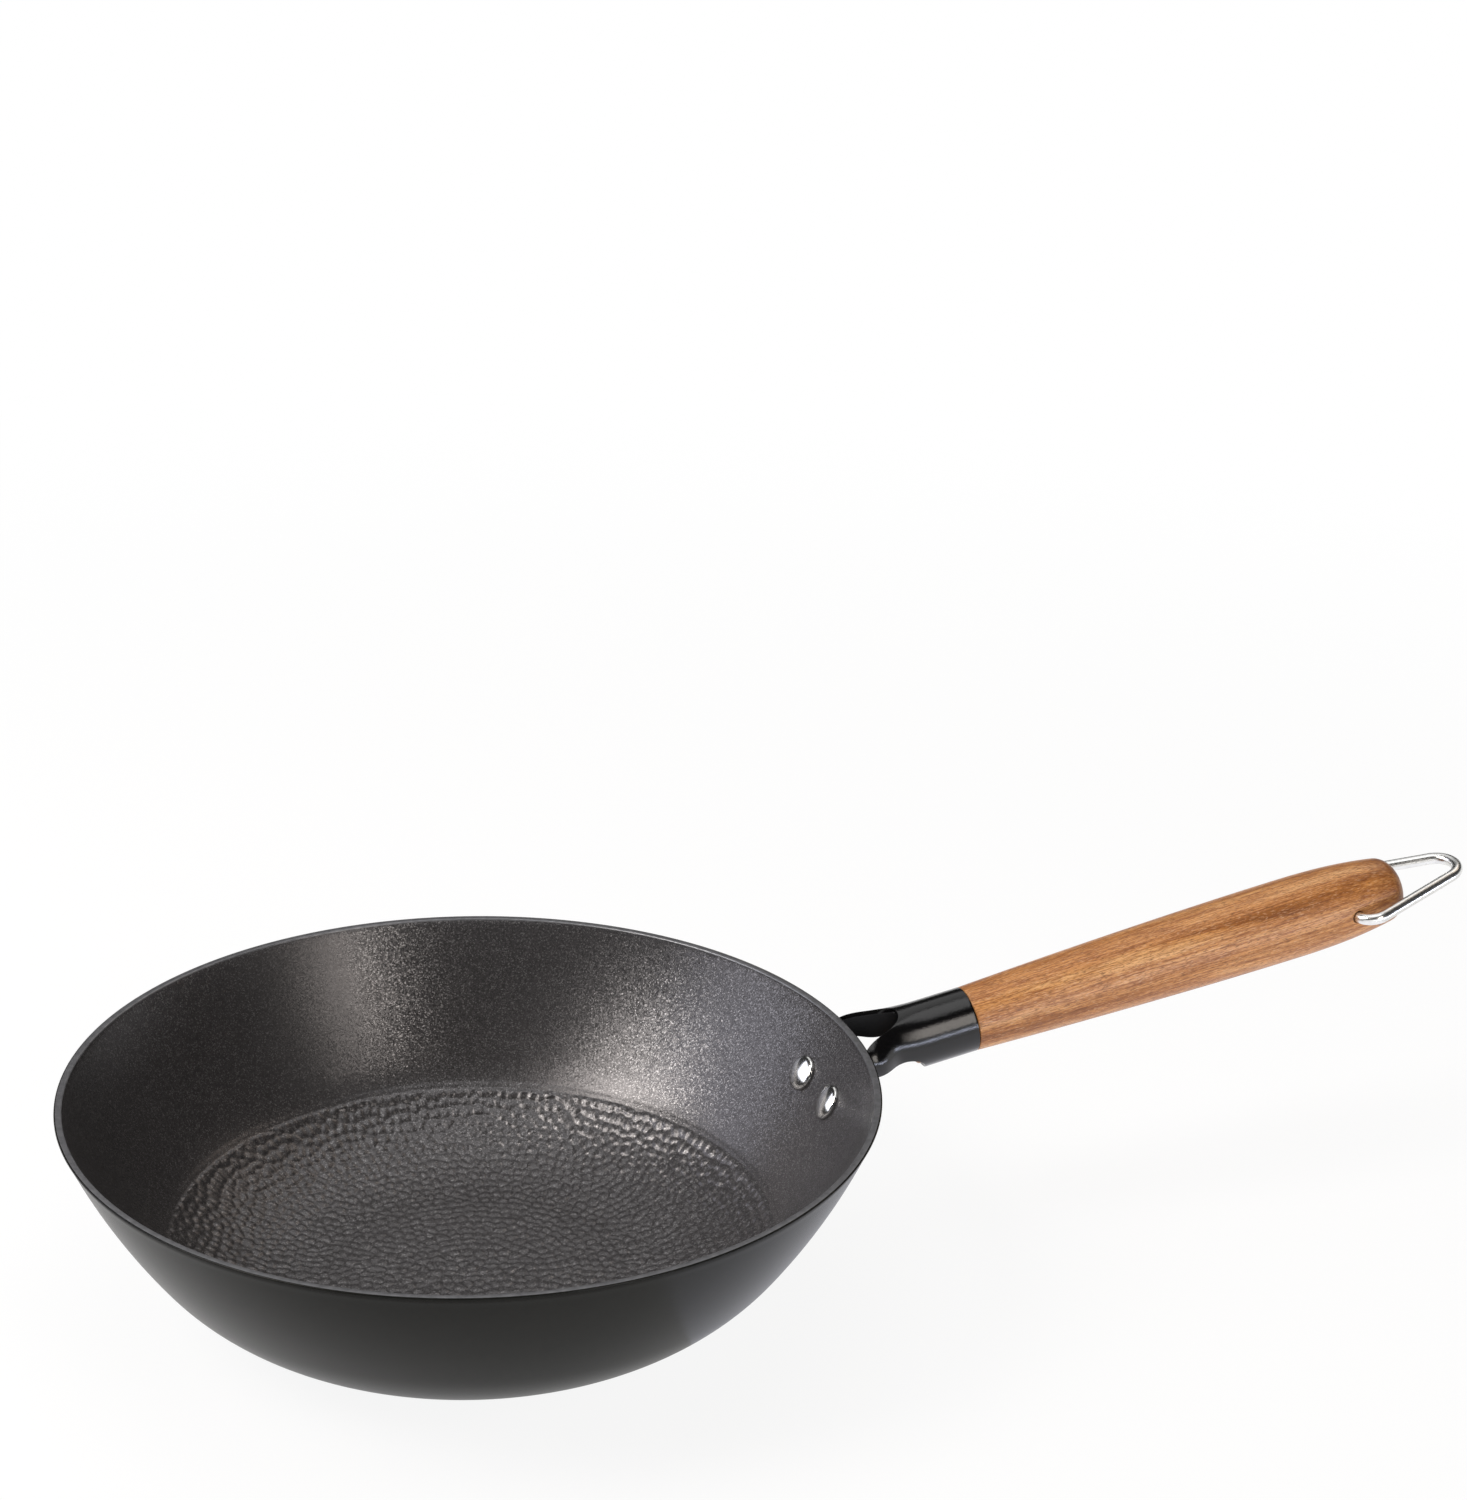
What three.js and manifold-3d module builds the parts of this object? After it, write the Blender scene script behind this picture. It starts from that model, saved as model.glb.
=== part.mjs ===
// A wok pan: cast bowl, forked steel bracket, two rivets, turned wooden grip and a hanging loop of wire.
// Millimetres, +Z up. The origin is the middle of the underside, and the handle points along +X.

import * as THREE from 'three';
import { mergeVertices } from 'three/addons/utils/BufferGeometryUtils.js';
import Module from 'manifold-3d';

const DEGREE = Math.PI / 180;

// Fits
const SEAT_GAP = 0.3;
const PAD_GAP = 0.45;
const RUNNING_CLEARANCE = 0.35;

// Bowl
const RIM_DIAMETER = 300;
const BOWL_HEIGHT = 81.8;
const BASE_DIAMETER = 114.8;
const CORNER_RADIUS = 80.5;
const CORNER_ANGLE = 53.6 * DEGREE;
const WALL_THICKNESS = 2.5;
const FLOOR_THICKNESS = 3.6;
const RIM_EDGE = 0.5;
const RING_DIAMETER = 225.4;
const RING_HEIGHT = 0.4;
const RING_WIDTH = 1.6;

// Rivets
const RIVET_SPACING = 26;
const RIVET_BELOW_RIM = 23.6;
const RIVET_SHANK_DIAMETER = 5;
const RIVET_HEAD_DIAMETER = 12.6;
const RIVET_HEAD_HEIGHT = 2.4;
const RIVET_TAIL_DIAMETER = 9;
const RIVET_TAIL_HEIGHT = 1.8;
const RIVET_TAIL_BEVEL = 0.9;
const RIVET_HEAD_EDGE = 0.6;

// Handle line
const HANDLE_RISE = 9.1 * DEGREE;
const JOINT_PAST_RIM = 47.2;
const JOINT_BELOW_RIM = 3.3;

// Bracket
const SOCKET_DIAMETER = 24.4;
const SHEET_THICKNESS = 2.2;
const SOCKET_LENGTH = 33;
const NOTCH_WIDTH = 12.4;
const NOTCH_DEPTH = 5.5;
const UNDER_LIP_LENGTH = 19.5;
const LEG_LOWER_ANGLE = -13 * DEGREE;
const LEG_UPPER_ANGLE = 58 * DEGREE;
const LEG_OVERLAP = 4;
const LEG_UPPER_REACH = 13;
const LEG_LOWER_REACH = 9.5;
const LEG_UPPER_FLARE = 7.6;
const LEG_LOWER_FLARE = 5.5;
const LEG_UPPER_LIFT = -1;
const LEG_LOWER_LIFT = 0.7;
const LEG_ROOT_FLARE = 1;
const LEG_ROOT_LIFT = 0.6;
const PAD_WIDTH = 16;
const PAD_ABOVE_RIVET = 6;

// Grip
const GRIP_LENGTH = 185;
const GRIP_NECK_DIAMETER = 25;
const GRIP_SWELL_DIAMETER = 31.5;
const GRIP_END_DIAMETER = 23;
const GRIP_SWELL_AT = 136;
const GRIP_NECK_POWER = 1.7;
const GRIP_END_POWER = 2.5;
const GRIP_END_EDGE = 6.8;
const TENON_LENGTH = 24;
const TENON_CHAMFER = 1;

// Grip pin
const PIN_DIAMETER = 4;
const PIN_LENGTH = 15;
const PIN_FROM_JOINT = 12;

// Hanging bail
const BAIL_WIRE_DIAMETER = 4.5;
const BAIL_PIVOT_FROM_END = 24.2;
const BAIL_LENGTH = 50.6;
const BAIL_HALF_ANGLE = 17.5 * DEGREE;
const BAIL_TIP_RADIUS = 9.3;
const BAIL_EAR_RADIUS = 6.5;
const BAIL_PIN_INSET = 9;
const BAIL_TILT = 2 * DEGREE;

// Facets
const BOWL_SEGMENTS = 80;
const TURNED_SEGMENTS = 32;
const SMALL_SEGMENTS = 20;
const WIRE_HALF_SIDES = 6;
const WIRE_STEPS = 64;
const ARC_STEPS = 6;
const LEG_ROWS = 10;
const PAD_ROWS = 5;
const LEG_COLUMNS = 5;

const WELD = 1e-4;

const wasm = await Module();
wasm.setup();

// Solids and booleans

function solid(geometry) {
  const bare = geometry.index ? geometry.toNonIndexed() : geometry.clone();
  bare.deleteAttribute('normal');
  bare.deleteAttribute('uv');
  const merged = mergeVertices(bare, WELD);
  const index = merged.index.array;
  const triangles = [];
  for (let k = 0; k < index.length; k += 3) {
    const [a, b, c] = [index[k], index[k + 1], index[k + 2]];
    if (a !== b && b !== c && c !== a) triangles.push(a, b, c);
  }
  const vertProperties = Float32Array.from(merged.attributes.position.array);
  const triVerts = Uint32Array.from(triangles);
  return new wasm.Manifold(new wasm.Mesh({ numProp: 3, vertProperties, triVerts }));
}

function geometryOf(body) {
  const { vertProperties, triVerts } = body.getMesh();
  const geometry = new THREE.BufferGeometry();
  geometry.setAttribute('position', new THREE.BufferAttribute(vertProperties, 3));
  geometry.setIndex(new THREE.BufferAttribute(triVerts, 1));
  geometry.computeVertexNormals();
  return geometry;
}

// Turned shapes: the profile is a list of [distance along the axis, radius].

function turnedAlongZ(profile, segments) {
  const points = profile.map(([along, radius]) => new THREE.Vector2(radius, along));
  return new THREE.LatheGeometry(points, segments).rotateX(Math.PI / 2);
}

function turnedAlongX(profile, segments) {
  const points = profile.map(([along, radius]) => new THREE.Vector2(radius, along));
  return new THREE.LatheGeometry(points, segments).rotateZ(-Math.PI / 2);
}

function rodBetween(start, end, diameter) {
  const axis = new THREE.Vector3().subVectors(end, start);
  const rod = new THREE.CylinderGeometry(diameter / 2, diameter / 2, axis.length(), SMALL_SEGMENTS);
  const turn = new THREE.Quaternion();
  turn.setFromUnitVectors(new THREE.Vector3(0, 1, 0), axis.clone().normalize());
  const middle = new THREE.Vector3().addVectors(start, end).multiplyScalar(0.5);
  return rod.applyQuaternion(turn).translate(middle.x, middle.y, middle.z);
}

// Wall of the bowl: a corner arc rises from the flat base and a wider arc, tangent to it, goes on to the rim.

const rimRadius = RIM_DIAMETER / 2;
const baseRadius = BASE_DIAMETER / 2;
const cornerTop = {
  radius: baseRadius + CORNER_RADIUS * Math.sin(CORNER_ANGLE),
  height: CORNER_RADIUS * (1 - Math.cos(CORNER_ANGLE)),
};
const wallRun = rimRadius - cornerTop.radius;
const wallRise = BOWL_HEIGHT - cornerTop.height;
const wallTurn = 2 * (Math.atan2(wallRise, wallRun) - CORNER_ANGLE);
const wallArcRadius = Math.hypot(wallRun, wallRise) / (2 * Math.sin(wallTurn / 2));
const wallCentre = {
  radius: cornerTop.radius - wallArcRadius * Math.sin(CORNER_ANGLE),
  height: cornerTop.height + wallArcRadius * Math.cos(CORNER_ANGLE),
};

// Point on the wall's outer arc at a slope angle, moved outwards by offset.
function wallProfile(slope, offset) {
  const reach = wallArcRadius + offset;
  return {
    radius: wallCentre.radius + reach * Math.sin(slope),
    height: wallCentre.height - reach * Math.cos(slope),
  };
}

function bowlProfile() {
  const outer = [[0, 0], [0, baseRadius]];
  const inner = [[FLOOR_THICKNESS, 0], [FLOOR_THICKNESS, baseRadius]];
  const ringHalfAngle = RING_WIDTH / 2 / (CORNER_RADIUS - WALL_THICKNESS);
  const ringReach = (RING_DIAMETER / 2 - baseRadius) / (CORNER_RADIUS - WALL_THICKNESS);
  const ringAngle = Math.asin(ringReach);
  const cornerPoint = (slope, thickness) => [
    CORNER_RADIUS - (CORNER_RADIUS - thickness) * Math.cos(slope),
    baseRadius + (CORNER_RADIUS - thickness) * Math.sin(slope),
  ];
  const thicknessAt = (slope) =>
    THREE.MathUtils.lerp(FLOOR_THICKNESS, WALL_THICKNESS, Math.min(1, slope / (ringAngle - ringHalfAngle)));
  const innerSlopes = [];
  for (let k = 1; k <= ARC_STEPS; k += 1) {
    const slope = (CORNER_ANGLE * k) / ARC_STEPS;
    outer.push(cornerPoint(slope, 0));
    if (Math.abs(slope - ringAngle) > 2 * ringHalfAngle) innerSlopes.push(slope);
  }
  innerSlopes.push(ringAngle - ringHalfAngle, ringAngle, ringAngle + ringHalfAngle);
  innerSlopes.sort((a, b) => a - b);
  for (const slope of innerSlopes) {
    const bead = slope === ringAngle ? RING_HEIGHT : 0;
    inner.push(cornerPoint(slope, thicknessAt(slope) + bead));
  }
  const innerReach = wallArcRadius - WALL_THICKNESS;
  const innerRimSlope = Math.acos((wallCentre.height - BOWL_HEIGHT + RIM_EDGE) / innerReach);
  const outerRimSlope = Math.acos((wallCentre.height - BOWL_HEIGHT + RIM_EDGE) / wallArcRadius);
  for (let k = 1; k <= ARC_STEPS; k += 1) {
    const share = k / ARC_STEPS;
    const outside = wallProfile(THREE.MathUtils.lerp(CORNER_ANGLE, outerRimSlope, share), 0);
    const inside = wallProfile(THREE.MathUtils.lerp(CORNER_ANGLE, innerRimSlope, share), -WALL_THICKNESS);
    outer.push([outside.height, outside.radius]);
    inner.push([inside.height, inside.radius]);
  }
  const rimInner = inner[inner.length - 1][1] + RIM_EDGE;
  return [...outer, [BOWL_HEIGHT, rimRadius - RIM_EDGE], [BOWL_HEIGHT, rimInner], ...inner.reverse()];
}

// Rivet seats: a point on the outer wall and the wall's outward normal there, for the side -1 or 1.

const rivetSlope = Math.acos((wallCentre.height - BOWL_HEIGHT + RIVET_BELOW_RIM) / wallArcRadius);
const rivetRadius = wallProfile(rivetSlope, 0).radius;
const rivetAzimuth = Math.asin(RIVET_SPACING / 2 / rivetRadius);

// Point beside the outer wall: up the wall and sideways from a rivet seat, moved outwards by offset.
function wallPoint(side, up, sideways, offset) {
  const { radius, height } = wallProfile(rivetSlope + up / wallArcRadius, offset);
  const azimuth = side * (rivetAzimuth + sideways / rivetRadius);
  return new THREE.Vector3(radius * Math.cos(azimuth), radius * Math.sin(azimuth), height);
}

function rivetAxisPoint(side, offset) {
  return wallPoint(side, 0, 0, offset);
}

// Handle line: from the joint between socket and grip, along its own +X.

const handle = new THREE.Group();
handle.position.set(rimRadius + JOINT_PAST_RIM, 0, BOWL_HEIGHT - JOINT_BELOW_RIM);
handle.rotation.y = -HANDLE_RISE;
handle.updateMatrix();
const socketRadius = SOCKET_DIAMETER / 2;
const socketBore = socketRadius - SHEET_THICKNESS;

function onHandle(x, y, z) {
  return new THREE.Vector3(x, y, z).applyMatrix4(handle.matrix);
}

// Sheet of metal around a grid of points on its middle surface, rows along it and columns across it.
function sheetAround(grid, thickness) {
  const rows = grid.length;
  const columns = grid[0].length;
  const positions = [];
  const index = [];
  const within = (value, count) => THREE.MathUtils.clamp(value, 0, count - 1);
  const at = (row, column) => grid[within(row, rows)][within(column, columns)];
  for (const face of [0.5, -0.5]) {
    for (let row = 0; row < rows; row += 1) {
      for (let column = 0; column < columns; column += 1) {
        const along = new THREE.Vector3().subVectors(at(row + 1, column), at(row - 1, column));
        const across = new THREE.Vector3().subVectors(at(row, column + 1), at(row, column - 1));
        const normal = along.cross(across).normalize();
        positions.push(...at(row, column).clone().addScaledVector(normal, face * thickness).toArray());
      }
    }
  }
  const below = rows * columns;
  const quad = (a, b, c, d) => index.push(a, b, c, a, c, d);
  const id = (row, column) => row * columns + column;
  for (let row = 0; row < rows - 1; row += 1) {
    for (let column = 0; column < columns - 1; column += 1) {
      const corners = [id(row, column), id(row + 1, column), id(row + 1, column + 1), id(row, column + 1)];
      quad(...corners);
      quad(...corners.map((corner) => corner + below).reverse());
    }
    for (const [from, to, column] of [[row, row + 1, columns - 1], [row + 1, row, 0]]) {
      quad(id(from, column), id(to, column), id(to, column) + below, id(from, column) + below);
    }
  }
  for (let column = 0; column < columns - 1; column += 1) {
    for (const [from, to, row] of [[column, column + 1, 0], [column + 1, column, rows - 1]]) {
      quad(id(row, from), id(row, to), id(row, to) + below, id(row, from) + below);
    }
  }
  const geometry = new THREE.BufferGeometry();
  geometry.setAttribute('position', new THREE.Float32BufferAttribute(positions, 3));
  geometry.setIndex(index);
  return geometry;
}

// Leg of the fork: it leaves the side of the socket, turns down and lies on the wall as a round-ended pad.
function legGrid(side) {
  const middleRadius = socketRadius - SHEET_THICKNESS / 2;
  const padOffset = PAD_GAP + SHEET_THICKNESS / 2;
  const padRadius = PAD_WIDTH / 2;
  const grid = [];
  const columnShares = Array.from({ length: LEG_COLUMNS + 1 }, (unused, column) => column / LEG_COLUMNS);
  const curves = columnShares.map((share) => {
    const angle = THREE.MathUtils.lerp(LEG_LOWER_ANGLE, LEG_UPPER_ANGLE, share);
    const sideways = PAD_WIDTH * (share - 0.5);
    const flare = THREE.MathUtils.lerp(LEG_LOWER_FLARE, LEG_UPPER_FLARE, share);
    const lift = THREE.MathUtils.lerp(LEG_LOWER_LIFT, LEG_UPPER_LIFT, share);
    const reach = SOCKET_LENGTH + THREE.MathUtils.lerp(LEG_LOWER_REACH, LEG_UPPER_REACH, share);
    const y = middleRadius * Math.cos(angle);
    const z = middleRadius * Math.sin(angle);
    return new THREE.CatmullRomCurve3([
      onHandle(LEG_OVERLAP - SOCKET_LENGTH, side * y, z),
      onHandle(-SOCKET_LENGTH, side * (y + share * LEG_ROOT_FLARE), z + share * LEG_ROOT_LIFT),
      onHandle(-reach, side * (y + flare), z + lift),
      wallPoint(side, PAD_ABOVE_RIVET, sideways, padOffset),
      wallPoint(side, 0, sideways, padOffset),
    ]);
  });
  for (let row = 0; row <= LEG_ROWS; row += 1) {
    grid.push(curves.map((curve) => curve.getPoint(row / LEG_ROWS)));
  }
  for (let row = 1; row < PAD_ROWS; row += 1) {
    const turn = (row / PAD_ROWS) * 90 * DEGREE;
    const halfWidth = padRadius * Math.cos(turn);
    const drop = -padRadius * Math.sin(turn);
    grid.push(columnShares.map((share) => wallPoint(side, drop, halfWidth * (2 * share - 1), padOffset)));
  }
  return side > 0 ? grid : grid.map((row) => [...row].reverse());
}

// Space that the bracket keeps clear of: the wall and rim, grown by the seat gap.
function wallClearance() {
  const profile = [[cornerTop.height, 0]];
  const rimSlope = CORNER_ANGLE + wallTurn;
  for (let k = 0; k <= ARC_STEPS; k += 1) {
    const slope = THREE.MathUtils.lerp(CORNER_ANGLE, rimSlope, k / ARC_STEPS);
    const { radius, height } = wallProfile(slope, SEAT_GAP);
    profile.push([height, radius]);
  }
  const top = BOWL_HEIGHT + SEAT_GAP;
  profile.push([top, rimRadius + SEAT_GAP], [top, 0]);
  return turnedAlongZ(profile, BOWL_SEGMENTS);
}

function bracket() {
  const tube = turnedAlongX([
    [-SOCKET_LENGTH, socketBore], [-SOCKET_LENGTH, socketRadius], [0, socketRadius], [0, socketBore],
    [-SOCKET_LENGTH, socketBore],
  ], TURNED_SEGMENTS);
  const notch = new THREE.Shape();
  const notchEnd = NOTCH_DEPTH - SOCKET_LENGTH;
  const notchCorner = notchEnd - NOTCH_WIDTH / 2;
  notch.moveTo(-SOCKET_LENGTH - SOCKET_DIAMETER, -NOTCH_WIDTH / 2);
  notch.lineTo(notchCorner, -NOTCH_WIDTH / 2);
  notch.absarc(notchCorner, 0, NOTCH_WIDTH / 2, -90 * DEGREE, 90 * DEGREE, false);
  notch.lineTo(-SOCKET_LENGTH - SOCKET_DIAMETER, NOTCH_WIDTH / 2);
  const notchCut = new THREE.ExtrudeGeometry(notch, { depth: SOCKET_DIAMETER, bevelEnabled: false });
  const underside = new THREE.Shape();
  const legFoot = socketRadius * Math.sin(LEG_LOWER_ANGLE);
  underside.moveTo(-SOCKET_LENGTH - SHEET_THICKNESS, legFoot);
  underside.lineTo(LEG_OVERLAP - SOCKET_LENGTH, legFoot);
  underside.quadraticCurveTo(-UNDER_LIP_LENGTH, legFoot, -UNDER_LIP_LENGTH, -SOCKET_DIAMETER);
  underside.lineTo(-SOCKET_LENGTH - SHEET_THICKNESS, -SOCKET_DIAMETER);
  const underCut = new THREE.ExtrudeGeometry(underside, { depth: 2 * SOCKET_DIAMETER, bevelEnabled: false });
  underCut.rotateX(Math.PI / 2).translate(0, SOCKET_DIAMETER, 0);
  const pinHole = rodBetween(
    new THREE.Vector3(-PIN_FROM_JOINT, 0, -SOCKET_DIAMETER), new THREE.Vector3(-PIN_FROM_JOINT, 0, 0),
    PIN_DIAMETER + 2 * SEAT_GAP,
  );
  let body = solid(tube).subtract(solid(notchCut)).subtract(solid(underCut)).subtract(solid(pinHole));
  body = solid(geometryOf(body).applyMatrix4(handle.matrix));
  for (const side of [-1, 1]) {
    const reach = RIVET_SHANK_DIAMETER + SHEET_THICKNESS;
    const hole = rodBetween(
      rivetAxisPoint(side, -reach), rivetAxisPoint(side, reach), RIVET_SHANK_DIAMETER + 2 * SEAT_GAP,
    );
    body = body.add(solid(sheetAround(legGrid(side), SHEET_THICKNESS))).subtract(solid(hole));
  }
  return geometryOf(body.subtract(solid(wallClearance())));
}

function bowl() {
  let body = solid(turnedAlongZ(bowlProfile(), BOWL_SEGMENTS));
  for (const side of [-1, 1]) {
    const reach = 2 * WALL_THICKNESS;
    const hole = rodBetween(
      rivetAxisPoint(side, -reach), rivetAxisPoint(side, reach), RIVET_SHANK_DIAMETER + 2 * SEAT_GAP,
    );
    body = body.subtract(solid(hole));
  }
  return geometryOf(body);
}

// Rivet along its own +Z, which points out of the wall, with the origin on the wall's outer face.
function rivet() {
  const headRadius = RIVET_HEAD_DIAMETER / 2;
  const headSeat = -WALL_THICKNESS - SEAT_GAP;
  const tailSeat = PAD_GAP + SHEET_THICKNESS + SEAT_GAP;
  const profile = [];
  for (let k = 0; k <= ARC_STEPS; k += 1) {
    const turn = (k / ARC_STEPS) * 90 * DEGREE;
    const rise = RIVET_HEAD_EDGE + (RIVET_HEAD_HEIGHT - RIVET_HEAD_EDGE) * Math.cos(turn);
    profile.push([headSeat - rise, headRadius * Math.sin(turn)]);
  }
  const shankRadius = RIVET_SHANK_DIAMETER / 2;
  const tailRadius = RIVET_TAIL_DIAMETER / 2;
  profile.push([headSeat, headRadius], [headSeat, shankRadius], [tailSeat, shankRadius]);
  const tailTop = tailSeat + RIVET_TAIL_HEIGHT;
  profile.push([tailSeat, tailRadius], [tailTop - RIVET_TAIL_BEVEL, tailRadius]);
  profile.push([tailTop, tailRadius - RIVET_TAIL_BEVEL], [tailTop, 0]);
  return turnedAlongZ(profile, SMALL_SEGMENTS);
}

// Wooden grip along the handle line: tenon, shoulder, swelling body and a flat end with a rounded edge.

const pivotAt = GRIP_LENGTH - BAIL_PIVOT_FROM_END;

function gripRadius(along) {
  const toNeck = Math.max(0, 1 - along / GRIP_SWELL_AT);
  const toEnd = Math.max(0, (along - GRIP_SWELL_AT) / (GRIP_LENGTH - GRIP_SWELL_AT));
  const slimmer = (GRIP_SWELL_DIAMETER - GRIP_NECK_DIAMETER) * toNeck ** GRIP_NECK_POWER
    + (GRIP_SWELL_DIAMETER - GRIP_END_DIAMETER) * toEnd ** GRIP_END_POWER;
  const edge = Math.max(0, (along - GRIP_LENGTH + GRIP_END_EDGE) / GRIP_END_EDGE);
  return (GRIP_SWELL_DIAMETER - slimmer) / 2 - GRIP_END_EDGE * (1 - Math.sqrt(1 - edge * edge));
}

function grip() {
  const tenonRadius = socketBore - SEAT_GAP;
  const profile = [[-TENON_LENGTH, 0], [-TENON_LENGTH, tenonRadius - TENON_CHAMFER]];
  profile.push([TENON_CHAMFER - TENON_LENGTH, tenonRadius], [SEAT_GAP, tenonRadius]);
  const bodySteps = 3 * ARC_STEPS;
  const edgeStart = GRIP_LENGTH - GRIP_END_EDGE;
  for (let k = 0; k < bodySteps; k += 1) {
    const along = THREE.MathUtils.lerp(SEAT_GAP, edgeStart, k / bodySteps);
    profile.push([along, gripRadius(along)]);
  }
  for (let k = 0; k < ARC_STEPS; k += 1) {
    const along = edgeStart + GRIP_END_EDGE * Math.sin((k / ARC_STEPS) * 90 * DEGREE);
    profile.push([along, gripRadius(along)]);
  }
  profile.push([GRIP_LENGTH, gripRadius(GRIP_LENGTH)], [GRIP_LENGTH, 0]);
  let body = solid(turnedAlongX(profile, TURNED_SEGMENTS));
  const pinHole = rodBetween(
    new THREE.Vector3(-PIN_FROM_JOINT, 0, -SOCKET_DIAMETER),
    new THREE.Vector3(-PIN_FROM_JOINT, 0, PIN_LENGTH + SEAT_GAP - socketRadius),
    PIN_DIAMETER + 2 * SEAT_GAP,
  );
  body = body.subtract(solid(pinHole));
  for (const side of [-1, 1]) {
    const bailHole = rodBetween(
      new THREE.Vector3(pivotAt, side * (bailPinEnd - RUNNING_CLEARANCE), 0),
      new THREE.Vector3(pivotAt, side * GRIP_SWELL_DIAMETER, 0),
      BAIL_WIRE_DIAMETER + 2 * RUNNING_CLEARANCE,
    );
    body = body.subtract(solid(bailHole));
  }
  return geometryOf(body);
}

// Hanging bail in its own XY plane: the pivot is the Y axis and the tip points along +X.

const bailPinEnd = gripRadius(pivotAt) - BAIL_PIN_INSET;

class FlatCurve extends THREE.Curve {
  constructor(path) {
    super();
    this.path = path;
  }

  getPoint(share, target = new THREE.Vector3()) {
    const { x, y } = this.path.getPointAt(share);
    return target.set(x, y, 0);
  }
}

function bail() {
  const tipCentre = BAIL_LENGTH - BAIL_TIP_RADIUS;
  const legSlope = Math.tan(BAIL_HALF_ANGLE);
  const sharpTip = tipCentre + BAIL_TIP_RADIUS / Math.sin(BAIL_HALF_ANGLE);
  const earTurn = 90 * DEGREE + BAIL_HALF_ANGLE;
  const earCentreX = BAIL_EAR_RADIUS;
  const earCentreY = (sharpTip - earCentreX) * legSlope - BAIL_EAR_RADIUS / Math.cos(BAIL_HALF_ANGLE);
  const path = new THREE.Path();
  path.moveTo(0, -bailPinEnd);
  path.lineTo(0, -earCentreY);
  path.absarc(earCentreX, -earCentreY, BAIL_EAR_RADIUS, Math.PI, Math.PI + earTurn, false);
  path.absarc(tipCentre, 0, BAIL_TIP_RADIUS, earTurn - Math.PI, Math.PI - earTurn, false);
  path.absarc(earCentreX, earCentreY, BAIL_EAR_RADIUS, Math.PI - earTurn, Math.PI, false);
  path.lineTo(0, bailPinEnd);
  const section = new THREE.Shape().absarc(0, 0, BAIL_WIRE_DIAMETER / 2, 0, 2 * Math.PI, false);
  return new THREE.ExtrudeGeometry(section, {
    steps: WIRE_STEPS, curveSegments: WIRE_HALF_SIDES, extrudePath: new FlatCurve(path),
  });
}

function pin() {
  return rodBetween(
    new THREE.Vector3(-PIN_FROM_JOINT, 0, -socketRadius),
    new THREE.Vector3(-PIN_FROM_JOINT, 0, PIN_LENGTH - socketRadius),
    PIN_DIAMETER,
  );
}

// Materials

const castIron = new THREE.MeshStandardMaterial({ color: '#3a3a3c', roughness: 0.55, metalness: 0.4 });
const blackSteel = new THREE.MeshStandardMaterial({ color: '#1c1b1d', roughness: 0.3, metalness: 0.3 });
const polishedSteel = new THREE.MeshStandardMaterial({ color: '#d2d2d0', roughness: 0.15, metalness: 1 });
const oiledWood = new THREE.MeshStandardMaterial({ color: '#a87445', roughness: 0.5, metalness: 0 });

function piece(name, geometry, material) {
  const mesh = new THREE.Mesh(geometry, material);
  mesh.name = name;
  return mesh;
}

// Assembly

const wok = new THREE.Group();
wok.add(piece('bowl', bowl(), castIron));
wok.add(piece('handle_bracket', bracket(), blackSteel));
for (const [name, side] of [['rivet_near', -1], ['rivet_far', 1]]) {
  const fastener = piece(name, rivet(), polishedSteel);
  const outward = new THREE.Vector3().subVectors(rivetAxisPoint(side, 1), rivetAxisPoint(side, 0));
  fastener.position.copy(rivetAxisPoint(side, 0));
  fastener.quaternion.setFromUnitVectors(new THREE.Vector3(0, 0, 1), outward.normalize());
  wok.add(fastener);
}
handle.add(piece('wood_grip', grip(), oiledWood));
handle.add(piece('grip_pin', pin(), polishedSteel));
const loop = piece('hanging_bail', bail(), polishedSteel);
loop.position.set(pivotAt, 0, 0);
loop.rotation.y = -BAIL_TILT;
handle.add(loop);
wok.add(handle);

export default wok;
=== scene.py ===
"""Looks of a wok pan with a coated iron bowl, a black steel fork, a wooden grip and a hanging loop of wire.

Sizes are in millimetres in the part's own frame: +Z up, the handle along +X and the origin in the middle of
the underside.
"""

import math
import random

import bmesh
import bpy
import numpy as np
from mathutils import Matrix, Vector, kdtree


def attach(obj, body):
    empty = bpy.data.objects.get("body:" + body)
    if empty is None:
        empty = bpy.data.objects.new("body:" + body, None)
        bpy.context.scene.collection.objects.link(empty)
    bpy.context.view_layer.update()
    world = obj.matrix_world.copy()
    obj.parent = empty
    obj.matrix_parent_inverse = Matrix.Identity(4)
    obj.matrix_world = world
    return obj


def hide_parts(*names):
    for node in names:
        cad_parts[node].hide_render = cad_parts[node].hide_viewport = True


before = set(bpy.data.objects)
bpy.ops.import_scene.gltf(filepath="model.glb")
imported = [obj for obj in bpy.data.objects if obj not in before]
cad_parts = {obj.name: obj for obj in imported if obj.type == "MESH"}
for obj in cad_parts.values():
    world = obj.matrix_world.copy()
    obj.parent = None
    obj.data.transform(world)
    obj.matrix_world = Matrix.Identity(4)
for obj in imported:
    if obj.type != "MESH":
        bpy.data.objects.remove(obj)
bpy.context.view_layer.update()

MM = 0.001
SEED = 7

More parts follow.
